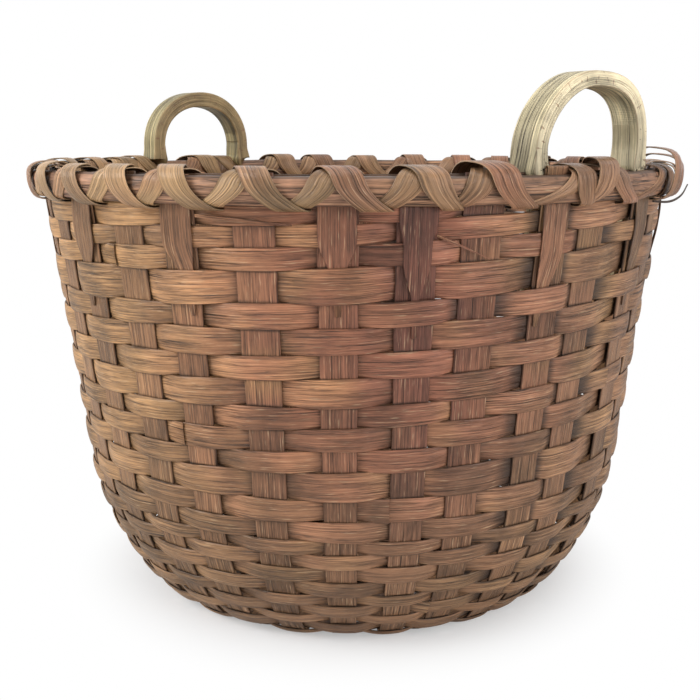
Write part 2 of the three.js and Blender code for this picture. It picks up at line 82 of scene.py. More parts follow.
# Stakes that fold over the rim; the widths of a fold are shares of its stake's
FOLDED_STAKES = (1, 3, 4, 6, 8, 9, 11, 13, 14, 16, 18, 19, 21, 24, 26, 28, 29, 31)
FOLD_SHARE = 0.92  # on the rim
TUCK_SHARE = 0.42  # where it goes under a weaver
TIP_SHARE = 0.12
SKEW_SHARE = 0.75  # how much more one side is cut back than the other, at most
POINTED_FOLDS = {29: 0.16}  # folds cut evenly to a point, with their share where they go under
PROUD_FOLDS = {31: 0.0045}  # metres by which a fold stands above the hoops

# Rows of weavers
DISC_ROWS = 4
BASE_ROWS = 3
# Row widths up the corner and the wall, in shares of their mean
WALL_ROW_SHARES = (0.88, 0.96, 0.68, 0.84, 0.74, 0.9, 0.88, 0.79, 0.72, 1.0,
                   1.1, 1.36, 1.03, 1.1, 1.03, 1.27, 1.13, 1.2, 1.1, 1.5, 0.99, 0.92)
TOP_ROW = len(WALL_ROW_SHARES) - 1
LEAN_ROW = 9  # rows above this one climb to one side
FILL_SHARES = (0.8, 1.1)  # the top row fills a gap that is narrower than these shares of the filler's end
LAP_STOPS = 2  # stops over which a row's two ends lie on each other
LAP_STEP_SHARE = 0.29  # how much further round each row starts

# Hoops and lashing
HOOP_END = math.radians(17.5)  # where the outer hoop's ends meet
HOOP_FACETS = 48  # sides of the frame's hoops
HOOP_SWAY = 0.3  # how far a hoop strays sideways, against how far it strays up and down
HOOP_SWELL = 40  # how much thicker a hoop is where it strays up, in shares a metre
LASH_EDGE_SHARE = 0.65  # how much of a hoop's depth the lashing lies on at the hoop's edges
SWEEP_SHARE = 0.74  # how far sideways a turn of lashing has gone halfway up the hoop
BELLY_SHARE = 0.5  # how far down a hoop stands out most
CROSS_SHARE = 0.1  # how far before and after a crossing a turn goes over the rim, in shares of the pitch
SQUEEZE_SHARE = 0.75  # width of the lashing beside a handle's leg
# Metres that turns have sprung off the hoop, by lashing (0 under, 1 over) and gap
SPRUNG_TURNS = {(0, 31): 0.0035, (1, 1): 0.006, (1, 2): 0.003, (1, 30): 0.0015}
SPRING_RISE = 1.7  # how much further up than out a turn springs

# Handles
FLARE_SHIFT_SHARE = 1 / 3  # how far in the middle of a leg's foot moves, in shares of what it gains

# How finely curves are laid out
SECTION_POINTS = 60
HOOP_STEPS = 192
BOW_STEPS = 40
LEG_STEPS = 5
CORNER_STEPS = 4
LASHING_CORNER_STEPS = 5
LOOSE_CORNER_STEPS = 6
HANDLE_CORNER_STEPS = 2
ARC_LIMIT = 0.47  # longest arc at a corner, in shares of the run beside it
BEVEL_SHARE = 0.3  # how far in the middle of a worn edge lies, in shares of its rounding
SHORTEST_RUN = 1e-9
MERGE_DISTANCE = 1e-6

# Painted shade from 0 to 1, on the outer and the inner face where there are two: darker in crevices, under
# other strips and on shaded faces
BARE_SHADE = 0.25
CREVICE_SHADE = 0.8
FOLD_SHADE = (0.6, 0.1)  # folded over, so its outer face lies inside
HOOP_SHADE = (0.15, 0.9)
LASH_SHADE = (0.0, 0.8)
SLOT_SHADE = (0.5, 0.8)
TONGUE_SHADE = (0.1, 0.1)
LOOSE_SHADE = 0.9
GRIP_SHADE = 0.3  # on the inner face only
# More painted shade on the inner face of the right handle's far half, which its own bow shades
FAR_GRIP_SHADE = 0.57

# Where the grain of each kind of piece starts
GRAIN_SEEDS = {"disc": 1, "base": 6, "wall": 11, "filler": 40, "spoke": 50, "hoop": 70, "lashing": 80,
               "handle": 90, "loose": 100}
SEED_STEPS = (1.37, 0.61)  # metres along and across the grain from one seed to the next
# A wandering line's waves: how many go round, how high they are and how far a seed moves them on
WAVES = ((3, 1, 0.618), (7, 1, 0.414), (15, 0.7, 0.732), (29, 0.5, 0.271))
WAVE_SCALE = 2.4  # brings their sum to between about -1 and 1
ROW_SEED = 1.7  # for the edges of the wall's rows
EDGE_SEEDS = (0.2, 0.6)  # for the two edges of a stake
SKEW_SEED = 0.37  # for how unevenly a fold is cut
STRAY_SEED = 0.4  # for how far the over lashing strays
STRAY_RATE = 2.1  # how fast the over lashing strays from one gap to the next

# The wood's marks in metres, along and across the grain
FINE_LENGTH = 0.045
STREAK_LENGTH = 0.1
FLECK_SIZE = (0.009, 0.0011)
TONE_WIDTH = 0.14
TINT_WIDTH = 0.11
MOTTLE_SIZE = (0.016, 0.007)
CHECK_SIZE = (0.0022, 0.006)
# How much they lighten and darken the wood
BASE_LIGHT = 0.66
TONE_LIGHT = 0.68
TONE_RAMP = (0.32, 0.68)  # noise values between which the tone does
MOTTLE_LIGHT = 0.9
STREAK_LIGHT = 1.3
FINE_LIGHT = 3.1
TINT_CONTRAST = (0.35, 1.3)  # the grain's contrast where the tint is 0, and what it gains up to 1
# How strongly pale fibres with painted glints, veins, cracks and pits show, and the noise values between
# which they do
GLINT_SHARE, GLINT_RAMP = 0.45, (0.56, 0.66)
VEIN_SHARE, VEIN_RAMP = 0.4, (0.025, 0.005)
CRACK_SHARE, CRACK_RAMP = 0.65, (0.42, 0.37)
PIT_SHARE, PIT_RAMP = 0.45, (0.37, 0.3)
# Noise values between which the painted shade fades in
SHADE_RAMP = (0.4, 0.95)
# Ways on the plan along which the tones of the wood change; the change to the camera's right also paints
# light on the left and shade on the right
RIGHT_WAY = (0.67, 0.74)  # to the camera's right
WINE_WAY = (0.54, 0.84)  # across the dark red patch in front

# Lamps: name, place, width in metres and watts
LAMPS = (
    ("key lamp", (-0.85, -1.85, 1.35), 1.2, 39),
    ("fill lamp", (2.25, 0.2, 1.0), 1.5, 26.5),
    ("top lamp", (0.2, 0.3, 2.2), 1.6, 14),
)
FLOOR_TONE = 0.9
WHITE = (1, 1, 1, 1)

# Columns of a stop: both edges and the middle of a strip, its thickness and the painted shade on its two
# faces
LOW, MIDDLE, HIGH, THICKNESS, SHADE_COLUMNS = slice(0, 3), slice(3, 6), slice(6, 9), 9, slice(10, 12)
EVERY_Y = slice(1, 9, 3)  # the y of both edges and of the middle
# Where a weaver meets a stake: how far up the section its middle lies, half its flat run, how far out
Crossing = namedtuple("Crossing", "stake angle middle side away")


def size(name, description, default):
    """A length in metres."""
    return FloatProperty(name=name, description=description, default=default, unit="LENGTH", precision=4)


def ratio(name, description, default):
    return FloatProperty(name=name, description=description, default=default)


def share(name, description, default):
    return FloatProperty(name=name, description=description, default=default, subtype="FACTOR")


def degrees(name, description, default):
    return FloatProperty(name=name, description=description, default=math.radians(default), subtype="ANGLE")


def colour(name, description, default):
    return FloatVectorProperty(name=name, description=description, default=default, subtype="COLOR",
                               size=3, min=0, max=1)


class BodySizes(bpy.types.PropertyGroup):
    base_radius: size("Base Radius", "Flat bottom, out to where it turns up", 0.154)
    shoulder_radius: size("Shoulder Radius", "Wall where the rounded corner ends", 0.207)
    shoulder_height: size("Shoulder Height", "Height where the rounded corner ends", 0.105)
    corner_start: share("Corner Start", "Pull of the corner's curve along the base", 0.27)
    corner_end: share("Corner End", "Pull of the corner's curve down the wall", 0.49)


class SplintSizes(bpy.types.PropertyGroup):
    stake_thickness: size("Stake Thickness", "Upright splints", 0.0016)
    fold_thickness: size("Fold Thickness", "A stake's shaved end", 0.001)
    weaver_thickness: size("Weaver Thickness", "Splints that go round", 0.0014)
    worn_edge: size("Worn Edge", "Rounding of a splint's edges", 0.0006)
    fit: size("Fit", "Clearance between splints that touch", 0.0003)
    row_gap: size("Row Gap", "Between the edges of two rows", 0.00025)
    cup: size("Cup", "How far a strip's middle stands off its edges", 0.0008)
    swell: size("Swell", "A weaver's edges move out this far over a stake, and in behind one", 0.0005)
    edge_margin: size("Edge Margin", "A weaver stays flat this far past a stake's edge", 0.0006)
    bend_reach: size("Bend Reach", "A weaver's bend beside a stake starts this far from its middle", 0.007)
    crest_reach: size("Crest Reach", "So does its bend behind a stake", 0.013)
    hub_start: size("Hub Start", "First stop of a spoke's half", 0.002)
    hub_middle: size("Hub Middle", "Second stop of a spoke's half", 0.015)
    hub_slope: size("Hub Slope", "From where the spokes lie on one another to their waist", 0.015)
    spoke_step: size("Spoke Step", "From one stop of a spoke to the next", 0.003)
    waist_gap: size("Waist Gap", "From the spokes' waist to the first row", 0.002)
    waist_width: size("Waist Width", "Spoke at its waist", 0.01)
    waist_thickness: size("Waist Thickness", "Spoke thinned at the hub", 0.0006)
    corner_width: size("Corner Width", "Stake where the base turns up", 0.016)
    low_wall_width: size("Low Wall Width", "Stake at the foot of the wall", 0.02)
    low_wall_reach: size("Low Wall Reach", "From the base's edge to that width", 0.06)
    rim_width: size("Rim Width", "Stake at the rim", 0.0255)
    # Painted shade: how far a stake is darkened out from under a weaver's edge
    shade_reach: size("Grime Reach", "Grime on a stake reaches this far out from under a weaver", 0.0025)
    fold_crease: size("Fold Crease", "Reach of the crease over a stake's top", 0.0006)
    fold_bend: size("Fold Bend", "Reach of a fold's softer bends", 0.005)
    loose_width: size("Loose Width", "Loose splints", 0.002)
    loose_thickness: size("Loose Thickness", "Loose splints", 0.00084)
    loose_bend: size("Loose Bend", "Reach of a loose splint's bends", 0.02)


class RowSizes(bpy.types.PropertyGroup):
    disc_start: share("Disc Start", "First row round the hub, in shares of the base's radius", 0.305)
    disc_end: share("Disc End", "Last row on the first spokes, in the same shares", 0.65)
    disc_gap: size("Disc Gap", "Between the rows of the disc", 0.001)
    base_start: share("Base Start", "First row on all the spokes, in the same shares", 0.7)
    rim_gap: size("Rim Gap", "Between the top row and the hoops", 0.0005)
    lean: size("Row Lean", "Height that the rows climb to one side", 0.009)
    lean_angle: degrees("Lean Angle", "Side that the rows climb to", 47)
    lean_reach: size("Lean Reach", "Length over which the lean grows", 0.09)
    crest_limit: size("Crest Limit", "How far a weaver peaks behind a stake", 0.0048)
    filler_least: size("Filler Least", "Narrowest end of the short top row", 0.004)
    wobble: size("Row Wobble", "How far a row's edges wander", 0.0011)


class RimSizes(bpy.types.PropertyGroup):
    radius: size("Rim Radius", "Round face of the outer hoop", 0.242)
    height: size("Rim Height", "Floor to the hoops' top", 0.318)
    hoop_height: size("Hoop Height", "Both hoops", 0.017)
    outer_depth: size("Outer Depth", "Outer hoop", 0.0065)
    inner_depth: size("Inner Depth", "Inner hoop", 0.007)
    facet: size("Facet", "Sagitta of the frame's hoop sides", 0.00052)
    cut: size("Cut", "Gap between the outer hoop's ends", 0.003)
    stub: size("Stub", "Cut stakes above the hoops", 0.0012)
    bulge_reach: size("Bulge Reach", "Inner hoop comes back to the stakes in this, past a leg", 0.088)
    waviness: size("Waviness", "How far a hoop strays up and down", 0.0004)


class LashingSizes(bpy.types.PropertyGroup):
    width: size("Width", "Lashing splint along the rim", 0.0185)
    cup: size("Cup", "How far its middle stands off its edges", 0.0013)
    thickness: size("Thickness", "Lashing splint", 0.0008)
    slot: size("Slot", "Room under the hoops", 0.005)
    proud: size("Proud", "Stands off the hoops", 0.0007)
    under: size("Under", "Passes below the hoops by this", 0.001)
    rise: size("Rise", "Passes over the hoops by this", 0.003)
    step: size("Step", "From one lashing to the other that lies on it", 0.0018)
    slot_margin: size("Slot Margin", "To the stakes beside it", 0.0012)
    leg_margin: size("Leg Margin", "To a handle's leg", 0.0084)
    looseness: size("Looseness", "How far the over lashing strays off the hoops", 0.0006)
    bend_reach: size("Bend Reach", "A bend starts this far from its middle", 0.012)


class HandleSizes(bpy.types.PropertyGroup):
    rise: size("Rise", "Above the hoops", 0.061)
    spread: size("Spread", "Middle of a leg from the middle of the handle", 0.05)
    grip_width: size("Grip Width", "Across the basket's wall", 0.02)
    grip_thickness: size("Grip Thickness", "At the top", 0.0095)
    leg_width: size("Leg Width", "Along the rim", 0.011)
    notch_thickness: size("Notch Thickness", "What a leg keeps behind the inner hoop", 0.004)
    tongue_width: size("Tongue Width", "Along the rim, inside the weave", 0.01)
    tongue_thickness: size("Tongue Thickness", "Inside the weave", 0.0045)
    tongue_reach: size("Tongue Reach", "Below the hoops' top", 0.1)
    tongue_end_width: size("Tongue End Width", "At its tip", 0.008)
    tongue_end_thickness: size("Tongue End Thickness", "At its tip", 0.002)
    shoulder_gap: size("Shoulder Gap", "Shoulder above the hoops", 0.0004)
    shoulder_slope: size("Shoulder Slope", "From the shoulder to the full leg", 0.001)
    shoulder_straight: size("Shoulder Straight", "Leg below the bow", 0.012)
    left_side: ratio("Left Side", "Exponent of the left bow's outline", 2.15)
    near_side: ratio("Near Side", "Exponent of the right bow's near side", 2.0)
    far_side: ratio("Far Side", "Exponent of the right bow's far side", 2.75)
    splay: size("Splay", "How far the right bow's near leg stands out at its foot", 0.005)
    right_flare: size("Right Flare", "What the right legs gain in thickness at their feet", 0.004)
    left_flare: size("Left Flare", "What the left legs gain in thickness at their feet", 0.0045)
    flare_reach: size("Flare Reach", "Height over which they do", 0.016)
    near_inset: size("Near Inset", "How far inwards the left handle's near leg stands", 0.003)
    far_inset: size("Far Inset", "How far inwards the left handle's far leg stands", 0.0062)
    foot_inset: share("Foot Inset", "How much of that its foot does", 0.6)
    left_rise: size("Left Rise", "How much higher the left bow is", 0.0015)
    left_gain: size("Left Gain", "How much thicker the left bow is at the top", 0.0035)
    grip_inset: size("Grip Inset", "Grip's middle inside the stakes", 0.0165)
    worn_edge: size("Worn Edge", "Rounding of a handle's edges", 0.0012)
    bend_reach: size("Bend Reach", "A bend starts this far from its middle", 0.002)


class WoodColours(bpy.types.PropertyGroup):
    # splint_wood lays gold to the left, brown to the right and olive low down: partly the wood's tones,
    # partly painted light and shade
    gold: colour("Gold", "Golden tan splints", (0.472, 0.268, 0.113))
    red: colour("Red", "Reddish brown splints", (0.34, 0.139, 0.078))
    brown: colour("Brown", "Brown splints", (0.322, 0.168, 0.09))
    wine: colour("Wine", "Dark red in front", (0.2, 0.07, 0.05))
    olive: colour("Olive", "Darkened lower splints", (0.27, 0.158, 0.08))
    # Pale fibres, which also paint glints and the lashing's edge highlights
    fibre_and_highlight: colour("Fibre", "Pale fibres and worn edges", (0.72, 0.52, 0.32))
    # Dark colour of the grain's lines and pits, which also paints shade in crevices, under strips and along
    # splint edges
    grime_and_shade: colour("Dirt", "Grime in the grain and crossings", (0.03, 0.017, 0.011))
    lashing: colour("Lashing", "Light tan of the lashing", (0.48, 0.295, 0.145))
    hoop: colour("Hoop", "Brown of the hoops", (0.36, 0.19, 0.115))
    pale_handle: colour("Pale Handle", "Worn edges of the right handle", (0.92, 0.79, 0.53))
    grey_handle: colour("Grey Handle", "Greenish grey of the right handle", (0.68, 0.585, 0.365))
    tan_handle: colour("Tan Handle", "Left handle", (0.4, 0.33, 0.165))


class StudioSizes(bpy.types.PropertyGroup):
    lens: ratio("Lens", "Focal length in millimetres", 52.33)
    distance: size("Camera Distance", "From the basket's axis", 0.8092)
    plan: degrees("Plan Angle", "Camera round the basket, from the right handle", -42)
    height: size("Camera Height", "Above the floor", 0.337)
    pitch: degrees("Pitch", "Camera below level", 11.63)
    shift: share("Shift", "Framing to the side", -3 / 700)
    floor: size("Floor", "Width of the floor", 12)
    shadow: size("Shadow", "The floor shows its shadow out to here", 0.1)
    clear: size("Clear", "The floor looks plain white from here on", 0.23)
    ambient: share("Ambient", "Light from all round", 0.15)


SIZE_GROUPS = {
    "basket_body": BodySizes,
    "basket_splints": SplintSizes,
    "basket_rows": RowSizes,
    "basket_rim": RimSizes,
    "basket_lashing": LashingSizes,
    "basket_handles": HandleSizes,
    "basket_woods": WoodColours,
    "basket_studio": StudioSizes,
}


def wander(seed, x):
    """A smooth drift between about -1 and 1, round a whole turn of x, the same on every run."""
    drift = sum(height * np.sin(turns * x + seed * step % 1 * 2 * math.pi) for turns, height, step in WAVES)
    return drift / WAVE_SCALE


def smoothstep(x, low, high):
    t = np.clip((x - low) / (high - low), 0, 1)
    return t * t * (3 - 2 * t)


def lerp(a, b, t):
    return a + (b - a) * t


class Basket:
    """The places of the weave, worked out from the panel's sizes as the frame's were."""

    def __init__(self, scene):
        self.body = scene.basket_body
        self.splints = scene.basket_splints
        self.rows = scene.basket_rows
        self.rim = scene.basket_rim
        self.lash = scene.basket_lashing
        self.handles = scene.basket_handles
        splints, rim = self.splints, self.rim
        self.wrap = (splints.stake_thickness + splints.weaver_thickness) / 2 + splints.fit
        fold_half = splints.fold_thickness / 2
        self.fold_offset = splints.stake_thickness / 2 + splints.fit + fold_half
        self.over_fold = self.wrap + splints.weaver_thickness / 2 + splints.fit + fold_half
        self.tuck_lift = splints.fold_thickness + splints.fit
        self.base_height = self.wrap + splints.weaver_thickness / 2
        stake_bow = splints.rim_width ** 2 / (8 * rim.radius)
        self.outer_seat = self.fold_offset + fold_half + stake_bow + splints.fit + rim.facet
        self.rim_radius = rim.radius - rim.outer_depth - self.outer_seat
        self.make_section()
        self.rows_end = self.length - rim.hoop_height - self.rows.rim_gap
        base_radius = self.body.base_radius
        self.disc_edges = np.linspace(self.rows.disc_start, self.rows.disc_end, DISC_ROWS + 1) * base_radius
        self.base_edges = np.linspace(self.rows.base_start, 1, BASE_ROWS + 1) * base_radius
        self.waist = self.disc_edges[0] - splints.waist_gap
        steps = np.cumsum((0, *WALL_ROW_SHARES)) / sum(WALL_ROW_SHARES)
        self.wall_edges = lerp(base_radius, self.rows_end - self.rows.lean, steps)
        self.inner_seat = splints.stake_thickness / 2 + splints.fit
        self.leg_seat = self.inner_seat + self.handles.notch_thickness + splints.fit
        self.tongue_offset = self.rows.crest_limit + splints.weaver_thickness / 2 + splints.fit
        self.leg_angle = math.asin(self.handles.spread / self.rim_radius)
        self.leg_half = (self.handles.tongue_width / 2 + self.lash.slot_margin) / self.rim_radius
        self.legs = [side + way * self.leg_angle for side in (0, math.pi) for way in (-1, 1)]

    def make_section(self):
        """The stakes' middle surface in section, from the middle of the base to past the rim."""
        body = self.body
        rim = Vector((self.rim_radius, self.rim.height))
        shoulder = Vector((body.shoulder_radius, body.shoulder_height))
        corner = Vector((body.base_radius, self.base_height))
        wall = (rim - shoulder).normalized()
        start = corner + Vector((body.corner_start * (shoulder.x - corner.x), 0))
        end = shoulder - wall * body.corner_end * body.shoulder_height
        bend = interpolate_bezier(corner, start, end, shoulder, SECTION_POINTS)
        spare = wall * self.rim.hoop_height
        points = np.array([(0, self.base_height), *bend, rim, rim + spare])
        runs = np.linalg.norm(np.diff(points, axis=0), axis=1)
        self.marks = np.concatenate([[0], np.cumsum(runs)])
        self.length = self.marks[-2]
        along = np.gradient(points, self.marks, axis=0)
        self.section = np.column_stack([points, along[:, 1], -along[:, 0]])

    def place(self, angle, length, away=0.0, across=0.0):
        """A point of the body: round it, along its section, out of it and sideways."""
        radius, height, out, up = (np.interp(length, self.marks, column) for column in self.section.T)
        reach = radius + away * out
        x = reach * np.cos(angle) - across * np.sin(angle)
        y = reach * np.sin(angle) + across * np.cos(angle)
        return np.stack(np.broadcast_arrays(x, y, height + away * up), axis=-1)

    def stake_angle(self, stake):
        return (stake + SWAY_SHARES[stake % SPOKES]) * PITCH

    def stake_width(self, stake, length):
        splints, start = self.splints, self.body.base_radius
        wobble = 1 + WIDTH_WOBBLE_SHARE * math.sin(stake % SPOKES * WIDTH_WOBBLE_TURN)
        marks = (self.waist, start, start + splints.low_wall_reach, self.length)
        rim_width = splints.rim_width * wobble
        widths = (splints.waist_width, splints.corner_width, splints.low_wall_width, rim_width)
        return np.interp(length, marks, widths)

    def lean_at(self, angle, length):
        start = self.wall_edges[LEAN_ROW]
        ease = smoothstep(length, start, start + self.rows.lean_reach)
        return self.rows.lean * ease * np.cos(angle - self.rows.lean_angle)

    def wall_row(self, row, angle):
        """Both edges of a row of the wall, which wander with their neighbours'."""
        edges = []
        for edge, side in ((row, 1), (row + 1, -1)):
            length = self.wall_edges[edge]
            drift = self.rows.wobble * wander(edge * ROW_SEED, angle) * min(1, edge / LEAN_ROW)
            edges.append(length + self.lean_at(angle, length) + drift + side * self.splints.row_gap / 2)
        if row == TOP_ROW:
            spare = self.rows_end - edges[1]
            least, most = (part * self.rows.filler_least for part in FILL_SHARES)
            edges[1] += spare * (1 - smoothstep(spare, least, most))
        return edges

    def filler_row(self, angle):
        return [self.wall_row(TOP_ROW, angle)[1] + self.splints.row_gap, self.rows_end]

    def is_filled(self, stake):
        lean = self.lean_at(self.stake_angle(stake), self.wall_edges[-1])
        return self.rows.lean - lean - self.splints.fit > self.rows.filler_least

    def rows_over(self, stake):
        """Every row that a stake meets: its edges there and whether it passes outside."""
        angle = self.stake_angle(stake)
        if stake % 2 == 0:
            for row in range(DISC_ROWS):
                yield (*self.disc_edges[row:row + 2], disc_passes_outside(stake, row))
        for row in range(BASE_ROWS):
            yield (*self.base_edges[row:row + 2], passes_outside(stake, row - BASE_ROWS))
        for row in range(TOP_ROW + 1):
            yield (*self.wall_row(row, angle), passes_outside(stake, row))
        if self.is_filled(stake):
            yield (*self.filler_row(angle), passes_outside(stake, TOP_ROW + 1))

    def stake_shade(self, stake, lengths):
        """Painted shade on a stake's outer and inner face: all of it under a weaver, and some in the
        crevice beside one.
        """
        grime_and_shade = np.full((len(lengths), 2), BARE_SHADE)
        for low, high, outside in self.rows_over(stake):
            inside = (lengths >= low) & (lengths <= high)
            depth = np.minimum(lengths - low, high - lengths)
            edge = 1 - smoothstep(depth, 0, self.splints.shade_reach)
            grime_and_shade[inside, 0 if outside else 1] = 1
            grime_and_shade[inside, 1 if outside else 0] = edge[inside] * CREVICE_SHADE
        return grime_and_shade

    def inner_hoop_seat(self, angle):
        """The inner hoop lies on the stakes, and comes in over the handles' legs."""
        turned = np.abs(np.arcsin(np.sin(angle)))
        facet = 2 * math.pi / HOOP_FACETS
        apart = self.rim_radius * (turned - self.leg_angle - self.leg_half - facet)
        return lerp(self.leg_seat, self.inner_seat, smoothstep(apart, 0, self.rim.bulge_reach))

    def slot(self, gap):
        """Where the lashing goes down between two stakes: its angle and its width there."""
        top = self.length - self.rim.hoop_height
        following = (gap + 1) % STAKES
        half = [self.stake_width(stake, top) / 2 / self.rim_radius for stake in (gap, following)]
        low = self.stake_angle(gap) + half[0]
        high = near_turn(self.stake_angle(following), low) - half[1]
        for place in self.legs:
            leg = near_turn(place, (low + high) / 2)
            if low < leg + self.leg_half and leg - self.leg_half < high:
                if leg > (low + high) / 2:
                    high = leg - self.leg_half
                else:
                    low = leg + self.leg_half
                break
        width = (high - low) * self.rim_radius - 2 * self.lash.slot_margin
        return (low + high) / 2, min(self.lash.width, width)

    def crossing(self, stake, beside):
        """Where the lashings cross above a stake: its angle, half their run there and their width."""
        angle = near_turn(self.stake_angle(stake), beside)
        width = SQUEEZE_SHARE * self.lash.width
        room = (self.handles.leg_width / 2 + width / 2 + self.lash.leg_margin) / self.rim_radius
        for place in self.legs:
            leg = near_turn(place, angle)
            if abs(leg - angle) < room:
                return leg + math.copysign(room, angle - leg), 0, width
        return angle, CROSS_SHARE * PITCH, self.lash.width


def near_turn(angle, beside):
    """The same angle, some whole turns on, so that it comes nearest to another."""
    return angle - round((angle - beside) / (2 * math.pi)) * 2 * math.pi


def disc_passes_outside(stake, row):
    """Whether a row of the disc passes under a spoke."""
    return (stake / 2 + row) % 2 == 0


def passes_outside(stake, row):
    """Whether a row of the wall passes outside a stake; the base's rows count up to -1."""
    return (stake + row + TOP_ROW) % 2 == 0


def tuck_row(stake):
    """The row that a folded stake's end goes under: an outer one, at least two below the top."""
    return TOP_ROW - 2 if passes_outside(stake, TOP_ROW) else TOP_ROW - 3


def is_tucked(stake, row):
    return stake in FOLDED_STAKES and row == tuck_row(stake)


def make_stop(low, middle, high, thickness, grime_and_shade):
    return np.concatenate([low, middle, high, [thickness, *grime_and_shade]])


def is_outside(stop):
    """Whether a weaver's stop lies outside a stake, where no shade is painted on its outer face."""
    return stop[SHADE_COLUMNS][0] == 0


def rounded(stops, reach, steps=CORNER_STEPS, closed=False):
    """Turns each corner of a run of stops into an arc that starts and ends within reach of it."""
    stops = np.asarray(stops)
    reaches = np.broadcast_to(reach, len(stops))
    path = []
    for i, here in enumerate(stops):
        if not closed and i in (0, len(stops) - 1):
            path.append(here)
            continue
        ends = []
        for other in (stops[i - 1], stops[(i + 1) % len(stops)]):
            run = np.linalg.norm(other[MIDDLE] - here[MIDDLE])
            ends.append(lerp(here, other, min(reaches[i] / max(run, SHORTEST_RUN), ARC_LIMIT)))
        for t in np.linspace(0, 1, steps + 1):
            path.append((1 - t) ** 2 * ends[0] + 2 * t * (1 - t) * here + t ** 2 * ends[1])
    if closed:
        path.append(path[0])
    return np.array(path)


def splint_profile(width, thickness, edge):
    """Outline of a strip's section, in shares of half its width and thickness, with 1 on its edges."""
    across, deep = 2 * edge / width, 2 * edge / thickness
    flat = 1 - across
    top = [(x, 1, 0) for x in (-flat, across - flat, -0.5, 0, 0.5, flat - across, flat)]
    bevel = (1 - BEVEL_SHARE * across, 1 - BEVEL_SHARE * deep, 0.5)
    corner = [bevel, (1, 1 - deep, 1), (1, 0.75 * (1 - deep), 1)]
    half = [*top, *corner, *[(x, -y, edge_wear_and_light) for x, y, edge_wear_and_light in reversed(corner)]]
    whole = [*half, *[(-x, -y, edge_wear_and_light) for x, y, edge_wear_and_light in half]]
    return np.array([*whole, whole[0]])


def half_round_profile(points=17, fullness=0.8):
    """Outline of a hoop's section: flat against the stakes and round outside."""
    turns = np.linspace(0, math.pi, points)
    arc = [(math.cos(turn), 2 * math.sin(turn) ** fullness - 1, 0) for turn in turns]
    back = [(x, -1, 0) for x in (-0.5, 0, 0.5)]
    return np.array([*arc, *back, arc[0]])


def new_mesh():
    bm = bmesh.new()
    bm.loops.layers.uv.new("Grain")
    # Per vertex: how much shade is painted, and 1 on a strip's edges
    bm.verts.layers.float.new("grime_and_shade")
    bm.verts.layers.float.new("edge")
    return bm


def add_band(bm, path, profile, seed, closed=False):
    """Adds a strip: a grid rolled round a profile and laid along a path, with its grain as its UV."""
    low, middle, high = path[:, LOW], path[:, MIDDLE], path[:, HIGH]
    along = np.gradient(middle, axis=0)
    if closed:
        along[0] = along[-1] = middle[1] - middle[-2]
    out = np.cross(along, high - low)
    out /= np.linalg.norm(out, axis=1)[:, None]
    x, y = profile[:, 0][None, :, None], profile[:, 1][None, :, None]
    edges = (low[:, None] * x * (x - 1) + high[:, None] * x * (x + 1)) / 2
    across = edges + middle[:, None] * (1 - x * x)
    points = across + out[:, None] * y * path[:, THICKNESS, None, None] / 2
    half = np.linalg.norm(high - low, axis=1)[:, None] / 2
    start_u, start_v = (seed * step for step in SEED_STEPS)
    grain_v = start_v + x[:, :, 0] * half + y[:, :, 0] * path[:, THICKNESS, None] / 2
    runs = np.linalg.norm(np.diff(middle, axis=0), axis=1)
    grain_u = start_u + np.concatenate([[0], np.cumsum(runs)])
    rows, columns = len(path), len(profile)
    grid = bmesh.ops.create_grid(bm, x_segments=rows - 1, y_segments=columns - 1, size=1)["verts"]
    uv_layer = bm.loops.layers.uv["Grain"]
    shade_layer = bm.verts.layers.float["grime_and_shade"]
    edge_layer = bm.verts.layers.float["edge"]
    spots = {}
    for vert in grid:
        i = round((vert.co.x + 1) / 2 * (rows - 1))
        j = round((vert.co.y + 1) / 2 * (columns - 1))
        spots[vert] = (i, j)
        vert.co = points[i, j]
        # Painted shade of the face that the vertex lies on
        vert[shade_layer] = path[i, SHADE_COLUMNS][0 if profile[j, 1] > 0 else 1]
        vert[edge_layer] = profile[j, 2]
    for face in {face for vert in grid for face in vert.link_faces}:
        face.smooth = True
        for loop in face.loops:
            i, j = spots[loop.vert]
            loop[uv_layer].uv = (grain_u[i], grain_v[i, j])
    bmesh.ops.remove_doubles(bm, verts=grid, dist=MERGE_DISTANCE)


def finish_piece(name, bm, material, slot, *nodes):
    """Closes the ends, turns every face outwards and hands the piece to the frame."""
    bmesh.ops.holes_fill(bm, edges=[edge for edge in bm.edges if edge.is_boundary], sides=0)
    bmesh.ops.recalc_face_normals(bm, faces=bm.faces)
    mesh = bpy.data.meshes.new(name)
    bm.to_mesh(mesh)
    bm.free()
    mesh.materials.append(material)
    piece = bpy.data.objects.new(name, mesh)
    bpy.context.scene.collection.objects.link(piece)
    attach(piece, "root")
    if nodes:
        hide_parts(*nodes)


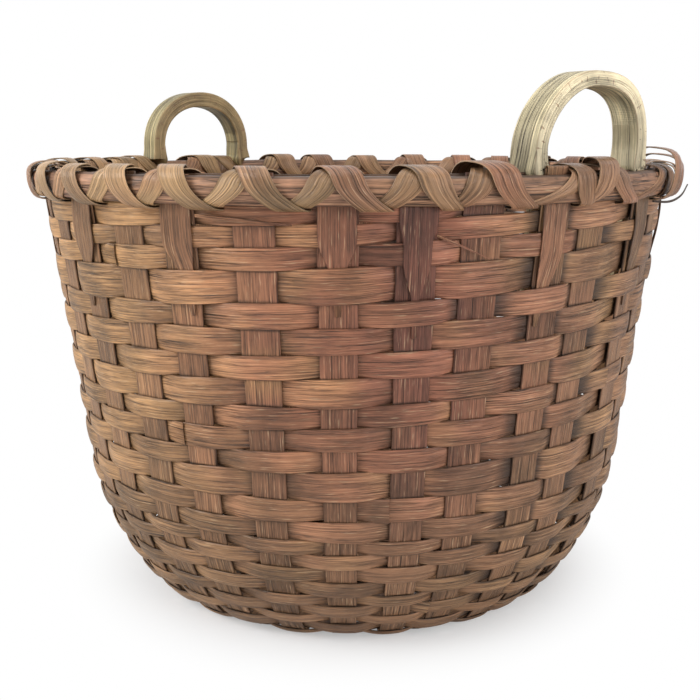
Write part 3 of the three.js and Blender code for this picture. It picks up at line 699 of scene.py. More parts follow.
# Weavers
def weaver_stops(basket, stakes, edges_at, outside, lifted=lambda stake: False, open_ended=False):
    """The places where a weaver turns: flat over a stake, or a peak behind one."""
    splints = basket.splints
    crossings = []
    for stake in stakes:
        angle = basket.stake_angle(stake)
        low, high = edges_at(angle)
        side = basket.stake_width(stake, high) / 2 + splints.edge_margin
        away = basket.wrap + (basket.tuck_lift if lifted(stake) else 0)
        crossings.append(Crossing(stake, angle, (low + high) / 2, side, away))

    def stop_at(crossing, across, away):
        radius = np.linalg.norm(basket.place(crossing.angle, crossing.middle)[:2])
        turned = crossing.angle + across / radius
        low, high = edges_at(turned)
        hidden = away < 0
        standing = smoothstep(low, basket.body.base_radius, basket.wall_edges[LEAN_ROW])
        swell = splints.swell * (-1 if hidden else 1) * standing
        places = ((low - swell, 0), ((low + high) / 2, splints.cup * standing), (high + swell, 0))
        lines = [basket.place(turned, length, away + cup) for length, cup in places]
        # Painted shade on the face that turns away behind a stake
        return make_stop(*lines, splints.weaver_thickness, (float(hidden), float(not hidden)))

    stops = []
    for i, crossing in enumerate(crossings):
        stake, angle, middle, side, away = crossing
        if outside(stake):
            stops += [stop_at(crossing, -side, away), stop_at(crossing, side, away)]
            continue
        here = basket.place(angle, middle)
        round_way = np.array([-math.sin(angle), math.cos(angle), 0])
        out_way = basket.place(angle, middle, 1) - here
        crest = basket.wrap
        for other, way in ((crossings[i - 1], 1), (crossings[(i + 1) % len(crossings)], -1)):
            offset = basket.place(other.angle, other.middle, other.away, way * other.side) - here
            run = abs(offset @ round_way)
            crest = max(crest, basket.wrap + side * (offset @ out_way + basket.wrap) / (run - side))
        alone = open_ended and i in (0, len(crossings) - 1)
        if alone or crest > basket.rows.crest_limit:
            stops += [stop_at(crossing, -side, -basket.wrap), stop_at(crossing, side, -basket.wrap)]
        else:
            stops.append(stop_at(crossing, 0, -crest))
    return stops


def lapped(basket, stops, start_share):
    """A row's stops from its start behind a stake, once round and on over its own thinned start."""
    splints = basket.splints
    behind = [i for i, stop in enumerate(stops) if not is_outside(stop)]
    start = behind[int(start_share * len(behind)) % len(behind)]
    half = splints.weaver_thickness / 2
    thin = half - splints.fit / 2
    shift = (half + splints.fit / 2) / 2
    path = []
    for i in range(len(stops) + LAP_STOPS):
        stop = stops[(start + i) % len(stops)].copy()
        side = int(i >= len(stops)) - int(i < LAP_STOPS)
        if side:
            radial = stop[MIDDLE] * (1, 1, 0)
            radial /= np.linalg.norm(radial)
            for part in (LOW, MIDDLE, HIGH):
                stop[part] += radial * side * shift
            stop[THICKNESS] = thin
        path.append(stop)
    return path


def weave(basket, name, stops, material, seed, row=None):
    """Builds a weaver that is bent round its stops; a row's two ends lie on each other."""
    splints = basket.splints
    if row is not None:
        stops = lapped(basket, stops, row * LAP_STEP_SHARE % 1)
        seed += row
    reaches = [splints.bend_reach if is_outside(stop) else splints.crest_reach for stop in stops]
    path = rounded(stops, reaches)
    width = np.mean(np.linalg.norm(path[:, HIGH] - path[:, LOW], axis=1))
    bm = new_mesh()
    add_band(bm, path, splint_profile(width, splints.weaver_thickness, splints.worn_edge), seed)
    finish_piece(name + "_splint", bm, material, "weaver_wood", name)


class BASKET_OT_base_weavers(bpy.types.Operator):
    """Weave the middle and the outer part of the base"""
    bl_idname = "basket.base_weavers"
    bl_label = "Base Weavers"

    def execute(self, context):
        basket = Basket(context.scene)
        wood = splint_wood(context.scene.basket_woods)
        parts = (
            ("disc", basket.disc_edges, basket.rows.disc_gap, range(0, STAKES, 2), disc_passes_outside),
            ("base", basket.base_edges, basket.splints.row_gap, range(STAKES),
             lambda stake, row: passes_outside(stake, row - BASE_ROWS)),
        )
        for part, edges, gap, stakes, outside in parts:
            for row in range(len(edges) - 1):
                low, high = edges[row] + gap / 2, edges[row + 1] - gap / 2
                stops = weaver_stops(basket, stakes, lambda angle: (low, high),
                                     lambda stake: outside(stake, row))
                weave(basket, f"{part}_weaver_{row + 1}", stops, wood, GRAIN_SEEDS[part], row)
        return {"FINISHED"}


class BASKET_OT_wall_weavers(bpy.types.Operator):
    """Weave the wall and the short row that levels it"""
    bl_idname = "basket.wall_weavers"
    bl_label = "Wall Weavers"

    def execute(self, context):
        basket = Basket(context.scene)
        wood = splint_wood(context.scene.basket_woods)
        for row in range(TOP_ROW + 1):
            stops = weaver_stops(basket, range(STAKES),
                                 lambda angle: basket.wall_row(row, angle),
                                 lambda stake: passes_outside(stake, row),
                                 lambda stake: is_tucked(stake, row))
            weave(basket, f"wall_weaver_{row + 1:02d}", stops, wood, GRAIN_SEEDS["wall"], row)
        first = next(stake for stake in range(STAKES)
                     if basket.is_filled(stake) and not basket.is_filled((stake - 1) % STAKES))
        run = [(first + i) % STAKES for i in range(STAKES)]
        run = [stake for stake in run if basket.is_filled(stake)]
        stops = weaver_stops(basket, run, basket.filler_row,
                             lambda stake: passes_outside(stake, TOP_ROW + 1), open_ended=True)
        weave(basket, "filler_weaver", stops, wood, GRAIN_SEEDS["filler"])
        return {"FINISHED"}


# Spokes
def stake_stop(basket, stake, length, away, thickness, widths, grime_and_shade):
    """A stop on a stake, whose widths are its two halves; a spoke's first half is laid the other way."""
    angle = basket.stake_angle(stake)
    near, far = widths
    sides = (near, (near - far) / 2, -far)
    if stake >= SPOKES:
        sides = reversed(sides)
    lines = [basket.place(angle, length, away, across) for across in sides]
    return make_stop(*lines, thickness, grime_and_shade)


def spoke_half(basket, spoke, stake):
    """Stops from the hub up to the rim, where the stake is cut or folds over."""
    splints = basket.splints
    order, on_top = spoke // 2, spoke % 2 == 1
    riding = basket.rows.crest_limit + basket.wrap
    hub_lift = (SPOKES // 2 + order if on_top else order) * (splints.waist_thickness + splints.fit)
    hub = basket.waist - splints.hub_slope
    marks = [0, hub, basket.waist]
    lifts = [hub_lift, hub_lift, riding if on_top else 0]
    if on_top:
        marks += [basket.disc_edges[-1], basket.base_edges[0]]
        lifts += [riding, 0]
    top = basket.length + basket.rim.stub
    if stake in FOLDED_STAKES:
        top = basket.length + PROUD_FOLDS.get(stake, 0) - splints.stake_thickness
    step = splints.spoke_step
    lengths = np.array([splints.hub_start, splints.hub_middle, *np.arange(hub, top - step, step), top])
    lift = np.interp(lengths, marks, lifts)
    reach = SMOOTH_SPAN // 2
    lift[reach:-reach] = np.convolve(lift, np.ones(SMOOTH_SPAN), "valid") / SMOOTH_SPAN
    thickness = np.interp(lengths, marks[1:3], (splints.waist_thickness, splints.stake_thickness))
    grime_and_shade = basket.stake_shade(stake, lengths)
    stops = []
    for i, length in enumerate(lengths):
        half = basket.stake_width(stake, length) / 2
        ragged = RAGGED_SHARE * half * min(1, length / basket.body.base_radius)
        widths = [half + ragged * wander(stake + seed, length * RAGGED_RATE) for seed in EDGE_SEEDS]
        stops.append(stake_stop(basket, stake, length, -lift[i], thickness[i], widths, grime_and_shade[i]))
    return stops


def fold_stops(basket, stake):
    """Stops of a stake's end, folded over its own top and down the outside to its tuck."""
    splints = basket.splints
    angle = basket.stake_angle(stake)
    tuck = tuck_row(stake)
    skew = 0 if stake in POINTED_FOLDS else SKEW_SHARE * float(wander(stake * SKEW_SEED, 1))
    tuck_share = POINTED_FOLDS.get(stake, TUCK_SHARE)
    half = basket.stake_width(stake, basket.length) / 2

    def stop(length, away, width_share, thickness=splints.fold_thickness):
        lean = skew * (FOLD_SHARE - width_share) * half
        widths = (half * width_share + lean, half * width_share - lean)
        return stake_stop(basket, stake, length, away, thickness, widths, FOLD_SHADE)

    proud = PROUD_FOLDS.get(stake, 0)
    bend = basket.length - splints.stake_thickness + proud
    crown = basket.length - splints.fold_thickness / 2 + proud
    stops = [
        stop(crown, 0, FOLD_SHARE, splints.stake_thickness),
        stop(crown, basket.fold_offset, FOLD_SHARE),
        stop(bend, basket.fold_offset, FOLD_SHARE),
        stop(basket.length - basket.rim.hoop_height, basket.fold_offset, FOLD_SHARE),
    ]

    def pass_over(edges, width_share):
        low, high = edges
        for length in (high + splints.edge_margin, low - splints.edge_margin):
            stops.append(stop(length, basket.over_fold, width_share))

    if basket.is_filled(stake) and passes_outside(stake, TOP_ROW + 1):
        pass_over(basket.filler_row(angle), FOLD_SHARE)
    for row in range(TOP_ROW, tuck, -1):
        if passes_outside(stake, row):
            taper = (TOP_ROW - row) / (TOP_ROW - tuck)
            pass_over(basket.wall_row(row, angle), lerp(FOLD_SHARE, tuck_share, taper))
    low, high = basket.wall_row(tuck, angle)
    tip = basket.wall_row(tuck - 1, angle)[0]
    stops.append(stop(high, basket.fold_offset, tuck_share))
    stops.append(stop((low + tip) / 2, basket.fold_offset, TIP_SHARE))
    creases = [splints.fold_crease] * 2
    return rounded(stops, [*creases, *[splints.fold_bend] * (len(stops) - len(creases))])


class BASKET_OT_spokes(bpy.types.Operator):
    """Lay the spokes and stand up their ends as stakes"""
    bl_idname = "basket.spokes"
    bl_label = "Spokes"

    def execute(self, context):
        basket = Basket(context.scene)
        splints = basket.splints
        wood = splint_wood(context.scene.basket_woods, "stake wood",
                           gold_share=0.6, darkening=0.24, wine_share=0.7)
        profile = splint_profile(splints.low_wall_width, splints.stake_thickness, splints.worn_edge)
        for spoke in range(SPOKES):
            halves = []
            for stake in (spoke + SPOKES, spoke):
                stops = spoke_half(basket, spoke, stake)
                if stake in FOLDED_STAKES:
                    stops += list(fold_stops(basket, stake))
                halves.append(stops)
            path = np.array([*reversed(halves[0]), *halves[1]])
            bm = new_mesh()
            add_band(bm, path, profile, GRAIN_SEEDS["spoke"] + spoke)
            name = f"spoke_{spoke + 1:02d}"
            finish_piece(name + "_splint", bm, wood, "stake_wood", name)
        return {"FINISHED"}


# Rim
def hoop_path(basket, seat_at, depth, direction, seed, cut):
    """Stops of a hoop round the rim, outside or inside the stakes; cut is the gap between its ends."""
    height = basket.rim.hoop_height
    drops = (height, height / 2, 0) if direction > 0 else (0, height / 2, height)
    start, end = HOOP_END + cut / basket.rim.radius, HOOP_END + 2 * math.pi
    stops = []
    for angle in np.linspace(start, end, HOOP_STEPS + 1):
        wave = basket.rim.waviness * float(wander(seed, angle))
        away = direction * (seat_at(angle) + depth / 2) + HOOP_SWAY * wave
        lines = [basket.place(angle, basket.length - drop + wave, away) for drop in drops]
        stops.append(make_stop(*lines, depth * (1 + HOOP_SWELL * wave), HOOP_SHADE))
    return np.array(stops)


class BASKET_OT_hoops(bpy.types.Operator):
    """Bend the outer and the inner hoop round the rim"""
    bl_idname = "basket.hoops"
    bl_label = "Hoops"

    def execute(self, context):
        basket = Basket(context.scene)
        wood = hoop_wood(context.scene.basket_woods)
        hoops = (
            ("outer_hoop", lambda angle: basket.outer_seat, basket.rim.outer_depth, 1),
            ("inner_hoop", basket.inner_hoop_seat, basket.rim.inner_depth, -1),
        )
        for seed, (name, seat, depth, direction) in enumerate(hoops):
            bm = new_mesh()
            cut = basket.rim.cut if direction > 0 else 0
            path = hoop_path(basket, seat, depth, direction, seed, cut)
            add_band(bm, path, half_round_profile(), GRAIN_SEEDS["hoop"] + seed, closed=not cut)
            finish_piece(name + "_bent", bm, wood, "hoop_wood", name)
        return {"FINISHED"}


def lash_turn(basket, level, direction, slot, following, cross, sprung):
    """A turn of lashing: up the outer hoop, over the rim and down the inner hoop."""
    lash, rim = basket.lash, basket.rim
    lift = level * lash.step
    under = rim.hoop_height + lash.under + lift
    over = -lash.rise - lift
    belly = BELLY_SHARE * rim.hoop_height
    angle, run, width = cross

    def outer(depth_share):
        return basket.outer_seat + depth_share * rim.outer_depth + lash.proud + lift

    def inner(at, depth_share):
        return -basket.inner_hoop_seat(at) - depth_share * rim.inner_depth - rim.facet - lash.proud - lift

    upper, lower = angle - direction * run, angle + direction * run
    up, down = lerp(slot[0], upper, SWEEP_SHARE), lerp(following[0], lower, SWEEP_SHARE)
    return [
        (slot[0], slot[1], outer(LASH_EDGE_SHARE), under),
        (up, lash.width, outer(1) + sprung, belly),
        (upper, width, outer(LASH_EDGE_SHARE) + sprung, over - SPRING_RISE * sprung),
        (lower, width, inner(angle, LASH_EDGE_SHARE), over - SPRING_RISE * sprung),
        (down, lash.width, inner(down, 1), belly),
        (following[0], following[1], inner(following[0], LASH_EDGE_SHARE), under),
    ]


def lash_path(basket, direction, level):
    """Stops of a whole lashing, which goes round the rim through every gap between stakes."""
    lash = basket.lash
    slots = [basket.slot(gap) for gap in range(STAKES)]
    stops = []
    for i in range(STAKES):
        gap = i if direction > 0 else STAKES - 1 - i
        following = slots[(gap + direction) % STAKES]
        stake = (gap + 1) % STAKES if direction > 0 else gap
        cross = basket.crossing(stake, slots[gap][0])
        far = (near_turn(following[0], cross[0]), following[1])
        strayed = lash.looseness * level * float(wander(level + STRAY_SEED, gap * STRAY_RATE))
        sprung = SPRUNG_TURNS.get((level, gap), 0) + strayed
        turn = lash_turn(basket, level, direction, slots[gap], far, cross, sprung)
        for step, (angle, width, away, drop) in enumerate(turn):
            cup = lash.cup if step < len(turn) / 2 else -lash.cup
            # Painted shade: more on the lashing in the slots, and on its face against the hoops
            grime_and_shade = SLOT_SHADE if step in (0, len(turn) - 1) else LASH_SHADE
            sides = ((width / 2, 0), (0, cup), (-width / 2, 0))
            lines = [basket.place(angle, basket.length - drop, away + proud, side) for side, proud in sides]
            stops.append(make_stop(*lines, lash.thickness, grime_and_shade))
    return rounded(stops, lash.bend_reach, LASHING_CORNER_STEPS, closed=True)


class BASKET_OT_lashings(bpy.types.Operator):
    """Wrap the rim with two splints that cross above the stakes"""
    bl_idname = "basket.lashings"
    bl_label = "Lashings"

    def execute(self, context):
        basket = Basket(context.scene)
        lash = basket.lash
        wood = lashing_wood(context.scene.basket_woods)
        profile = splint_profile(lash.width, lash.thickness, lash.thickness / 4)
        for name, direction, level in (("under_lashing", 1, 0), ("over_lashing", -1, 1)):
            bm = new_mesh()
            path = lash_path(basket, direction, level)
            add_band(bm, path, profile, GRAIN_SEEDS["lashing"] + level, closed=True)
            finish_piece(name + "_splint", bm, wood, "lashing_wood", name)
        return {"FINISHED"}


# Loose splints: material slot, painted shade on the outer face and places (stake, height from the rim,
# metres out, width)
LOOSE_SPLINTS = {
    "splinter": ("weaver_wood", 0.5, (
        (29.33, -0.034, 0.0035, 0.0016), (29.7, -0.041, 0.0042, 0.0013), (30.08, -0.049, 0.0034, 0.0004))),
    "torn_edge": ("weaver_wood", 0.2, (
        (26.2, -0.0235, 0.0034, 0.002), (26.7, -0.025, 0.0046, 0.003), (27.5, -0.028, 0.0036, 0.001))),
    "stray_end": ("lashing_wood", 0.9, (
        (1.2, -0.019, 0.009, 0.0014), (1.75, -0.0205, 0.0135, 0.0016), (2.2, -0.0165, 0.0175, 0.0013),
        (2.5, -0.009, 0.019, 0.0006))),
}


class BASKET_OT_loose_splints(bpy.types.Operator):
    """Add the thin splints that have come loose"""
    bl_idname = "basket.loose_splints"
    bl_label = "Loose Splints"

    def execute(self, context):
        basket = Basket(context.scene)
        splints = basket.splints
        thickness = splints.loose_thickness
        profile = splint_profile(splints.loose_width, thickness, thickness / 4)
        for seed, (name, (slot, grime_and_shade, places)) in enumerate(LOOSE_SPLINTS.items()):
            stops = []
            for stake, height, away, width in places:
                length = basket.length + height
                sides = (length - width / 2, length, length + width / 2)
                lines = [basket.place(stake * PITCH, side, away) for side in sides]
                stops.append(make_stop(*lines, thickness, (grime_and_shade, LOOSE_SHADE)))
            bm = new_mesh()
            path = rounded(stops, splints.loose_bend, LOOSE_CORNER_STEPS)
            add_band(bm, path, profile, GRAIN_SEEDS["loose"] + seed)
            finish_piece(name, bm, splint_wood(context.scene.basket_woods), slot)
        return {"FINISHED"}


# Handles
def handle_half(basket, squareness, flare, splay=0.0, inset=0.0, more_rise=0.0, gain=0.0, painted_shade=GRIP_SHADE):
    """Stops from a tongue's tip, through the notch for the inner hoop, to the middle of the grip."""
    handles, rim, fit = basket.handles, basket.rim, basket.splints.fit
    stops = []

    def tongue(drop, width, outer, thickness):
        ways = (-outer - thickness, -outer - thickness / 2, -outer)
        lines = [basket.place(basket.leg_angle, basket.length - drop, away) for away in ways]
        stops.append(make_stop(*lines, width, TONGUE_SHADE))

    bottom = rim.hoop_height + fit
    seat, notch = basket.inner_seat, handles.notch_thickness
    barb = basket.tongue_offset + handles.tongue_thickness - seat
    offset, width = basket.tongue_offset, handles.tongue_width
    tongue(handles.tongue_reach, handles.tongue_end_width, offset, handles.tongue_end_thickness)
    tongue(rim.hoop_height + basket.lash.slot, width, offset, handles.tongue_thickness)
    tongue(bottom + fit, width, seat, barb)
    tongue(bottom, width, seat, notch)
    tongue(-handles.shoulder_gap, width, seat, notch)
    x = basket.rim_radius - handles.grip_inset
    leg_top = handles.shoulder_gap + handles.shoulder_slope
    bow_start = leg_top + handles.shoulder_straight
    grip = handles.grip_thickness + gain
    rise_to = handles.rise + more_rise - grip / 2

    def bow(y, z, thickness):
        y += splay * (1 - smoothstep(z, leg_top, rise_to))
        y -= inset * lerp(handles.foot_inset, 1, smoothstep(z, 0, bow_start)) * y / handles.spread
        foot = leg_top - handles.flare_reach
        growth = 2 * flare * (1 - smoothstep(z, foot, leg_top + handles.flare_reach))
        y -= FLARE_SHIFT_SHARE * growth
        sides = (-handles.grip_width / 2, 0, handles.grip_width / 2)
        lines = [np.array([x + side, y, rim.height + z]) for side in sides]
        # Painted shade on the bow's inner face
        stops.append(make_stop(*lines, thickness + growth, (0, painted_shade)))

    for i in range(LEG_STEPS):
        bow(handles.spread, lerp(leg_top, bow_start, i / LEG_STEPS), handles.leg_width)
    for i in range(BOW_STEPS + 1):
        turn = math.pi / 2 * i / BOW_STEPS
        y = handles.spread * max(math.cos(turn), 0) ** (2 / squareness)
        z = bow_start + (rise_to - bow_start) * math.sin(turn) ** (2 / squareness)
        bow(y, z, lerp(handles.leg_width, grip, i / BOW_STEPS))
    return stops


class BASKET_OT_handles(bpy.types.Operator):
    """Carve and bend the two handles"""
    bl_idname = "basket.handles"
    bl_label = "Handles"

    def execute(self, context):
        basket = Basket(context.scene)
        handles = basket.handles
        woods = context.scene.basket_woods
        right_halves = (
            # Its far half gets more painted shade on the inner face, where its own bow shades it
            handle_half(basket, handles.far_side, handles.right_flare, painted_shade=FAR_GRIP_SHADE),
            handle_half(basket, handles.near_side, handles.right_flare, handles.splay),
        )
        left_halves = [handle_half(basket, handles.left_side, handles.left_flare, inset=inset,
                                   more_rise=handles.left_rise, gain=handles.left_gain)
                       for inset in (handles.near_inset, handles.far_inset)]
        halves = {"right_handle": right_halves, "left_handle": left_halves}
        profile = splint_profile(handles.grip_width, handles.leg_width, handles.worn_edge)
        for seed, (name, (half, other)) in enumerate(halves.items()):
            mirrored = np.array(other[:-1][::-1])
            mirrored[:, EVERY_Y] *= -1
            bm = new_mesh()
            path = rounded([*half, *mirrored], handles.bend_reach, HANDLE_CORNER_STEPS)
            add_band(bm, path, profile, GRAIN_SEEDS["handle"] + seed)
            turn = Euler((0, 0, seed * math.pi)).to_matrix()
            bmesh.ops.rotate(bm, verts=bm.verts, cent=(0, 0, 0), matrix=turn)
            finish_piece(name + "_carved", bm, handle_wood(woods, name), "handle_wood", name)
        return {"FINISHED"}


# Woods
class Value:
    """A shader socket that Python sums can be written with."""

    def __init__(self, shader, socket):
        self.shader = shader
        self.socket = socket

    def math(self, operation, *values, clamp=False):
        return self.shader.node("ShaderNodeMath", {"operation": operation, "use_clamp": clamp}, *values)

    def __add__(self, other):
        return self.math("ADD", self, other)

    def __sub__(self, other):
        return self.math("SUBTRACT", self, other)

    def __mul__(self, other):
        return self.math("MULTIPLY", self, other)

    def __truediv__(self, other):
        return self.math("DIVIDE", self, other)

    def __pow__(self, other):
        return self.math("POWER", self, other)

    def __abs__(self):
        return self.math("ABSOLUTE", self)

    def __radd__(self, other):
        return self.math("ADD", other, self)

    def __rsub__(self, other):
        return self.math("SUBTRACT", other, self)

    def __rmul__(self, other):
        return self.math("MULTIPLY", other, self)

    def clipped(self):
        return self.math("ADD", self, 0, clamp=True)


class Shader:
    """The node tree of a material or of the world."""

    def __init__(self, owner):
        owner.use_nodes = True
        self.owner = owner
        self.tree = owner.node_tree

    def node(self, kind, settings, *values, out=0, **named):
        """Adds a node: its settings first, then the values or links of its sockets."""
        node = self.tree.nodes.new(kind)
        for key, value in settings.items():
            setattr(node, key, value)
        for socket, value in zip(node.inputs, values):
            self.feed(socket, value)
        for key, value in named.items():
            self.feed(node.inputs[key], value)
        return Value(self, node.outputs[out])

    def feed(self, socket, value):
        if isinstance(value, Value):
            self.tree.links.new(value.socket, socket)
        else:
            socket.default_value = value

    def set(self, name, **values):
        """Feeds a node that the tree came with."""
        for key, value in values.items():
            self.feed(self.tree.nodes[name].inputs[key.replace("_", " ")], value)

    def rays(self, *names):
        """1 for rays of each kind that is named."""
        node = self.tree.nodes.new("ShaderNodeLightPath")
        return [Value(self, node.outputs[name]) for name in names]

    def mix(self, factor, first, second):
        """Mixes two colours."""
        node = self.tree.nodes.new("ShaderNodeMix")
        node.data_type = "RGBA"
        for index, value in ((0, factor), (6, first), (7, second)):
            if not isinstance(value, (Value, float, int)):
                value = (*value, 1)
            self.feed(node.inputs[index], value)
        return Value(self, node.outputs[2])

    def scaled(self, colour, value):
        """Makes a colour lighter or darker."""
        return self.node("ShaderNodeVectorMath", {"operation": "SCALE"}, colour, Scale=value)

    def noise(self, vector, detail=3.0, roughness=0.55):
        """A noise between about 0 and 1."""
        return self.node("ShaderNodeTexNoise", {}, Vector=vector, Scale=1.0, Detail=detail,
                         Roughness=roughness)

    def ramp(self, value, low, high):
        """Spreads a stretch of values over 0 to 1."""
        settings = {"interpolation_type": "SMOOTHSTEP"}
        return self.node("ShaderNodeMapRange", settings, value, low, high, 0.0, 1.0)

    def vector(self, x, y, z=0.0):
        return self.node("ShaderNodeCombineXYZ", {}, x, y, z)

    def split(self, vector):
        node = self.tree.nodes.new("ShaderNodeSeparateXYZ")
        self.feed(node.inputs[0], vector)
        return [Value(self, output) for output in node.outputs]

    def grain(self):
        """Metres along and across a strip."""
        return self.split(self.node("ShaderNodeUVMap", {"uv_map": "Grain"}))[:2]

    def place(self):
        """Metres in the basket's own frame."""
        return self.split(self.node("ShaderNodeTexCoord", {}, out=3))

    def bump(self, height, distance):
        return self.node("ShaderNodeBump", {}, Strength=1.0, Distance=distance, Height=height)


class Wood(Shader):
    """Weathered wood: grain and tones that run along a strip, and painted shade where strips cross."""

    def __init__(self, name, woods, fine_pitch=0.0009, streak_pitch=0.0036, stretch=1.0, tone_length=0.07):
        super().__init__(bpy.data.materials.new(name))
        self.woods = woods
        self.along, self.across = self.grain()
        self.x, self.y, self.z = self.place()
        self.fine = self.marks(FINE_LENGTH * stretch, fine_pitch, roughness=0.65)
        self.streak = self.marks(STREAK_LENGTH * stretch, streak_pitch, roughness=0.65)
        self.fleck = self.marks(*FLECK_SIZE, layer=3.0, detail=1)
        self.tone = self.marks(tone_length, TONE_WIDTH, detail=2)
        self.tint = self.marks(tone_length, TINT_WIDTH, layer=7.0, detail=1)
        self.mottle = self.marks(*MOTTLE_SIZE, layer=9.0, detail=4, roughness=0.6)
        # How much shade is painted on each face, and 1 on a strip's edges
        self.grime_and_shade = self.node("ShaderNodeAttribute", {"attribute_name": "grime_and_shade"}, out=2)
        self.edge = self.node("ShaderNodeAttribute", {"attribute_name": "edge"}, out=2)

    def marks(self, length, pitch, layer=0.0, **settings):
        """A noise with marks of this length along the grain and this pitch across it."""
        return self.noise(self.vector(self.along / length, self.across / pitch, layer), **settings)

    def way(self, direction):
        """Metres along a way on the plan."""
        return self.x * direction[0] + self.y * direction[1]

    def finish(self, colour, contrast=0.8, shade_strength=0.95, edge_wear_and_light=-0.5, rough=0.45, relief=0.0007):
        """Puts grain, cracks and painted shade on a colour; above zero the edges are painted paler, as wear
        and highlight, below zero darker, as shade.
        """
        least, gained = TINT_CONTRAST
        contrast = contrast * (least + self.tint * gained)
        light = BASE_LIGHT + self.ramp(self.tone, *TONE_RAMP) * TONE_LIGHT
        light = light + (self.mottle - 0.5) * MOTTLE_LIGHT
        light = light * (1 + (self.streak - 0.5) * (STREAK_LIGHT * contrast))
        light = light * (1 + (self.fine - 0.5) * (FINE_LIGHT * contrast))
        colour = self.scaled(colour, light)
        # Pale fibres with painted glints: pale speckles standing in for highlights
        glint = self.ramp(self.fine * 0.6 + self.fleck * 0.4, *GLINT_RAMP)
        colour = self.mix(glint * GLINT_SHARE, colour, self.woods.fibre_and_highlight)
        vein = self.ramp(abs(self.streak - 0.47), *VEIN_RAMP)
        crack = self.ramp(self.fine * 0.55 + self.streak * 0.45, *CRACK_RAMP)
        lines = (vein * VEIN_SHARE + crack * CRACK_SHARE) * contrast
        colour = self.mix(lines.clipped(), colour, self.woods.grime_and_shade)
        pit = self.ramp(self.fleck * 0.7 + self.fine * 0.3, *PIT_RAMP)
        colour = self.mix(pit * PIT_SHARE, colour, self.woods.grime_and_shade)
        # Edges painted paler above zero, as wear and highlight, and darker below zero, as shade along the
        # gaps
        colour = self.mix(self.edge * abs(edge_wear_and_light), colour, self.woods.fibre_and_highlight if edge_wear_and_light > 0 else self.woods.grime_and_shade)
        # Painted shade in crevices and where strips cross
        painted_shade = self.ramp(self.grime_and_shade + (self.streak - 0.5) * 0.4, *SHADE_RAMP)
        colour = self.mix(painted_shade * shade_strength, colour, self.woods.grime_and_shade)
        height = self.fine * 0.7 + self.streak * 0.7 + self.fleck * 0.2 - crack * 0.4 - vein * 0.3
        self.set("Principled BSDF", Base_Color=colour, Roughness=rough + (self.fine - 0.5) * 0.6,
                 Specular_IOR_Level=0.4, Normal=self.bump(height, relief))
        return self.owner


def splint_wood(woods, name="weaver wood", gold_share=0.85, darkening=0.0, wine_share=0.3):
    """Brown splints: golden at the left, reddish in front, browner at the right and olive low down; the
    lighter left and the darker right and lower parts are partly painted light and shade.
    """
    if name in bpy.data.materials:
        return bpy.data.materials[name]
    wood = Wood(name, woods)
    side = wood.way(RIGHT_WAY) + (wood.tint - 0.5) * 0.16
    low = wood.z + (wood.tone - 0.5) * 0.1
    # Tones across the view: the lighter gold to the left and the darker brown to the right are partly
    # painted light and shade
    colour = wood.mix(wood.ramp(side, 0.05, 0.19), woods.red, woods.brown)
    colour = wood.mix(wood.ramp(wood.tint, 0.5, 0.75) * 0.55, colour, woods.gold)
    colour = wood.mix(wood.ramp(side, -0.02, -0.17) * gold_share, colour, woods.gold)
    beside = abs(wood.way(WINE_WAY)) + (wood.tone - 0.5) * 0.02
    patch = wood.ramp(beside, 0.05, 0.016) * wood.ramp(wood.x, 0.02, 0.08)
    colour = wood.mix(patch * wine_share, colour, woods.wine)
    # Olive and darker low down, partly painted shade
    colour = wood.mix(wood.ramp(low, 0.21, 0.03) * 0.75, colour, woods.olive)
    colour = wood.mix(darkening, colour, woods.grime_and_shade)
    return wood.finish(colour)


def hoop_wood(woods):
    """Reddish brown hoops with long checks."""
    wood = Wood("hoop wood", woods, fine_pitch=0.0015, streak_pitch=0.004)
    colour = wood.mix(wood.ramp(wood.tint, 0.4, 0.7), woods.hoop, woods.brown)
    return wood.finish(colour, contrast=1.3, shade_strength=0.7, edge_wear_and_light=0, relief=0.001)


def lashing_wood(woods):
    """Thin tan splints with fine long lines and a satin face, browner to the right, which partly paints
    shade; pale edges are wear and painted highlight.
    """
    wood = Wood("lashing wood", woods, fine_pitch=0.0009, streak_pitch=0.002, stretch=2.2)
    side = wood.way(RIGHT_WAY) + (wood.tint - 0.5) * 0.2
    # Browner and darker to the camera's right, partly painted shade
    colour = wood.mix(wood.ramp(side, -0.13, 0.14), woods.lashing, woods.brown)
    colour = wood.mix(wood.ramp(wood.tint, 0.42, 0.7) * 0.6, colour, woods.red)
    return wood.finish(colour, contrast=0.65, shade_strength=0.7, edge_wear_and_light=0.5, rough=0.34)


def handle_wood(woods, name):
    """Hand-worn wood: greenish grey with pale edges on the right, plain tan on the left."""
    title = name.replace("_", " ") + " wood"
    wood = Wood(title, woods, streak_pitch=0.0042, stretch=2.5, tone_length=0.05)
    if name == "right_handle":
        colour = wood.mix(wood.edge, woods.grey_handle, woods.pale_handle)
    else:
        colour = wood.mix(wood.edge * 0.5, woods.tan_handle, woods.lashing)
    outline = (1 - abs(wood.edge - 0.5) * 3).clipped() * wood.ramp(wood.fine, 0.38, 0.6)
    checks = wood.marks(*CHECK_SIZE, layer=5.0, detail=1)
    colour = wood.mix(outline * 0.75, colour, woods.brown)
    colour = wood.mix(wood.ramp(checks, 0.36, 0.29) * wood.edge * 0.7, colour, woods.brown)
    return wood.finish(colour, contrast=1.2 - wood.edge * 0.7, shade_strength=0.75, edge_wear_and_light=0, relief=0.0012)


# Studio
def add_lamp(name, spot, target, width, power):
    """A soft square lamp that faces the basket."""
    light = bpy.data.lights.new(name, "AREA")
    light.size = width
    light.energy = power
    lamp = bpy.data.objects.new(name, light)
    lamp.location = spot
    lamp.rotation_euler = (Vector(target) - Vector(spot)).to_track_quat("-Z", "Y").to_euler()
    bpy.context.scene.collection.objects.link(lamp)


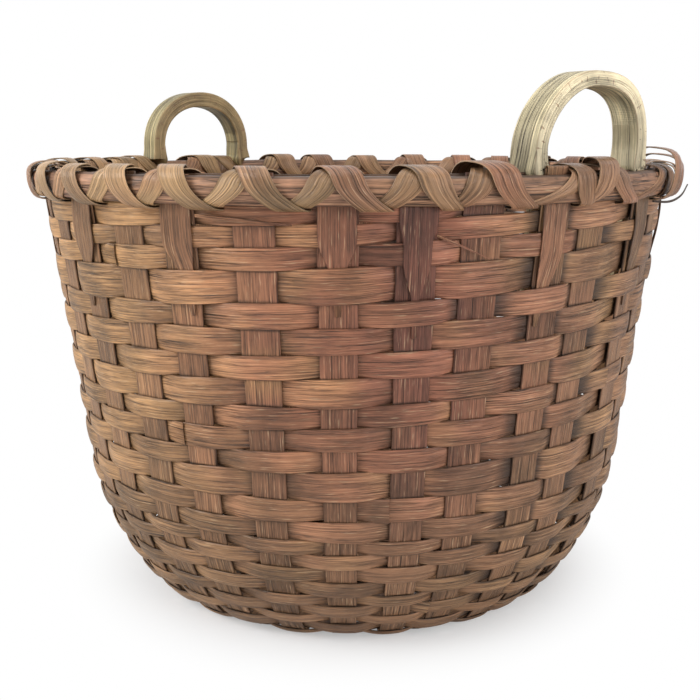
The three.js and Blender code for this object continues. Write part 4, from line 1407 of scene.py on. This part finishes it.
class BASKET_OT_studio(bpy.types.Operator):
    """Set up the floor, the lamps and the camera"""
    bl_idname = "basket.studio"
    bl_label = "Studio"

    def execute(self, context):
        scene = context.scene
        studio = scene.basket_studio
        scene.view_settings.view_transform = "Standard"
        camera = bpy.data.objects.new("camera", bpy.data.cameras.new("camera"))
        camera.data.lens = studio.lens
        camera.data.shift_x = studio.shift
        x, y = math.cos(studio.plan), math.sin(studio.plan)
        camera.location = (studio.distance * x, studio.distance * y, studio.height)
        camera.rotation_euler = (math.pi / 2 - studio.pitch, 0, studio.plan + math.pi / 2)
        scene.collection.objects.link(camera)
        scene.camera = camera
        self.add_floor(studio)
        self.light_world(scene)
        middle = (0, 0, scene.basket_rim.height / 2)
        for name, spot, width, power in LAMPS:
            add_lamp(name, spot, middle, width, power)
        return {"FINISHED"}

    def add_floor(self, studio):
        bm = bmesh.new()
        bmesh.ops.create_grid(bm, x_segments=1, y_segments=1, size=studio.floor / 2)
        mesh = bpy.data.meshes.new("floor")
        bm.to_mesh(mesh)
        bm.free()
        floor = bpy.data.objects.new("floor", mesh)
        shader = Shader(bpy.data.materials.new("pale floor"))
        shader.set("Principled BSDF", Base_Color=(FLOOR_TONE, FLOOR_TONE, FLOOR_TONE, 1), Roughness=0.9)
        lit = Value(shader, shader.tree.nodes["Principled BSDF"].outputs[0])
        x, y = shader.place()[:2]
        far = shader.ramp((x * x + y * y) ** 0.5, studio.shadow, studio.clear)
        (seen,) = shader.rays("Is Camera Ray")
        glow = shader.node("ShaderNodeEmission", {}, WHITE, 1.0)
        shader.set("Material Output", Surface=shader.node("ShaderNodeMixShader", {}, seen * far, lit, glow))
        mesh.materials.append(shader.owner)
        bpy.context.scene.collection.objects.link(floor)
        floor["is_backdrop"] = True

    def light_world(self, scene):
        ambient = scene.basket_studio.ambient
        scene.world = bpy.data.worlds.new("studio")
        shader = Shader(scene.world)
        camera, glossy, through = shader.rays("Is Camera Ray", "Is Glossy Ray", "Is Transmission Ray")
        seen = (camera + glossy + through).clipped()
        shader.set("Background", Color=WHITE, Strength=ambient + seen * (1 - ambient))


class BASKET_PT_panel(bpy.types.Panel):
    """Lists the basket's sizes and the steps that build it"""
    bl_label = "Splint Basket"
    bl_idname = "BASKET_PT_panel"
    bl_space_type = "VIEW_3D"
    bl_region_type = "UI"
    bl_category = "Basket"

    def draw(self, context):
        layout = self.layout
        for name, group in SIZE_GROUPS.items():
            box = layout.box()
            for key in group.__annotations__:
                box.prop(getattr(context.scene, name), key)
        for operator in OPERATORS:
            layout.operator(operator.bl_idname)


OPERATORS = (
    BASKET_OT_studio,
    BASKET_OT_spokes,
    BASKET_OT_base_weavers,
    BASKET_OT_wall_weavers,
    BASKET_OT_hoops,
    BASKET_OT_lashings,
    BASKET_OT_loose_splints,
    BASKET_OT_handles,
)


def register():
    for cls in (*SIZE_GROUPS.values(), *OPERATORS, BASKET_PT_panel):
        bpy.utils.register_class(cls)
    for name, group in SIZE_GROUPS.items():
        setattr(bpy.types.Scene, name, PointerProperty(type=group))


def unregister():
    for name in SIZE_GROUPS:
        delattr(bpy.types.Scene, name)
    for cls in reversed((*SIZE_GROUPS.values(), *OPERATORS, BASKET_PT_panel)):
        bpy.utils.unregister_class(cls)


def main():
    register()
    for operator in OPERATORS:
        group, name = operator.bl_idname.split(".")
        getattr(getattr(bpy.ops, group), name)()
    boxes = {"cad": CAD_BOX, "visual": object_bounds()}
    {name: [list(corner) for corner in box] for name, box in boxes.items()}


if __name__ == "__main__":
    main()
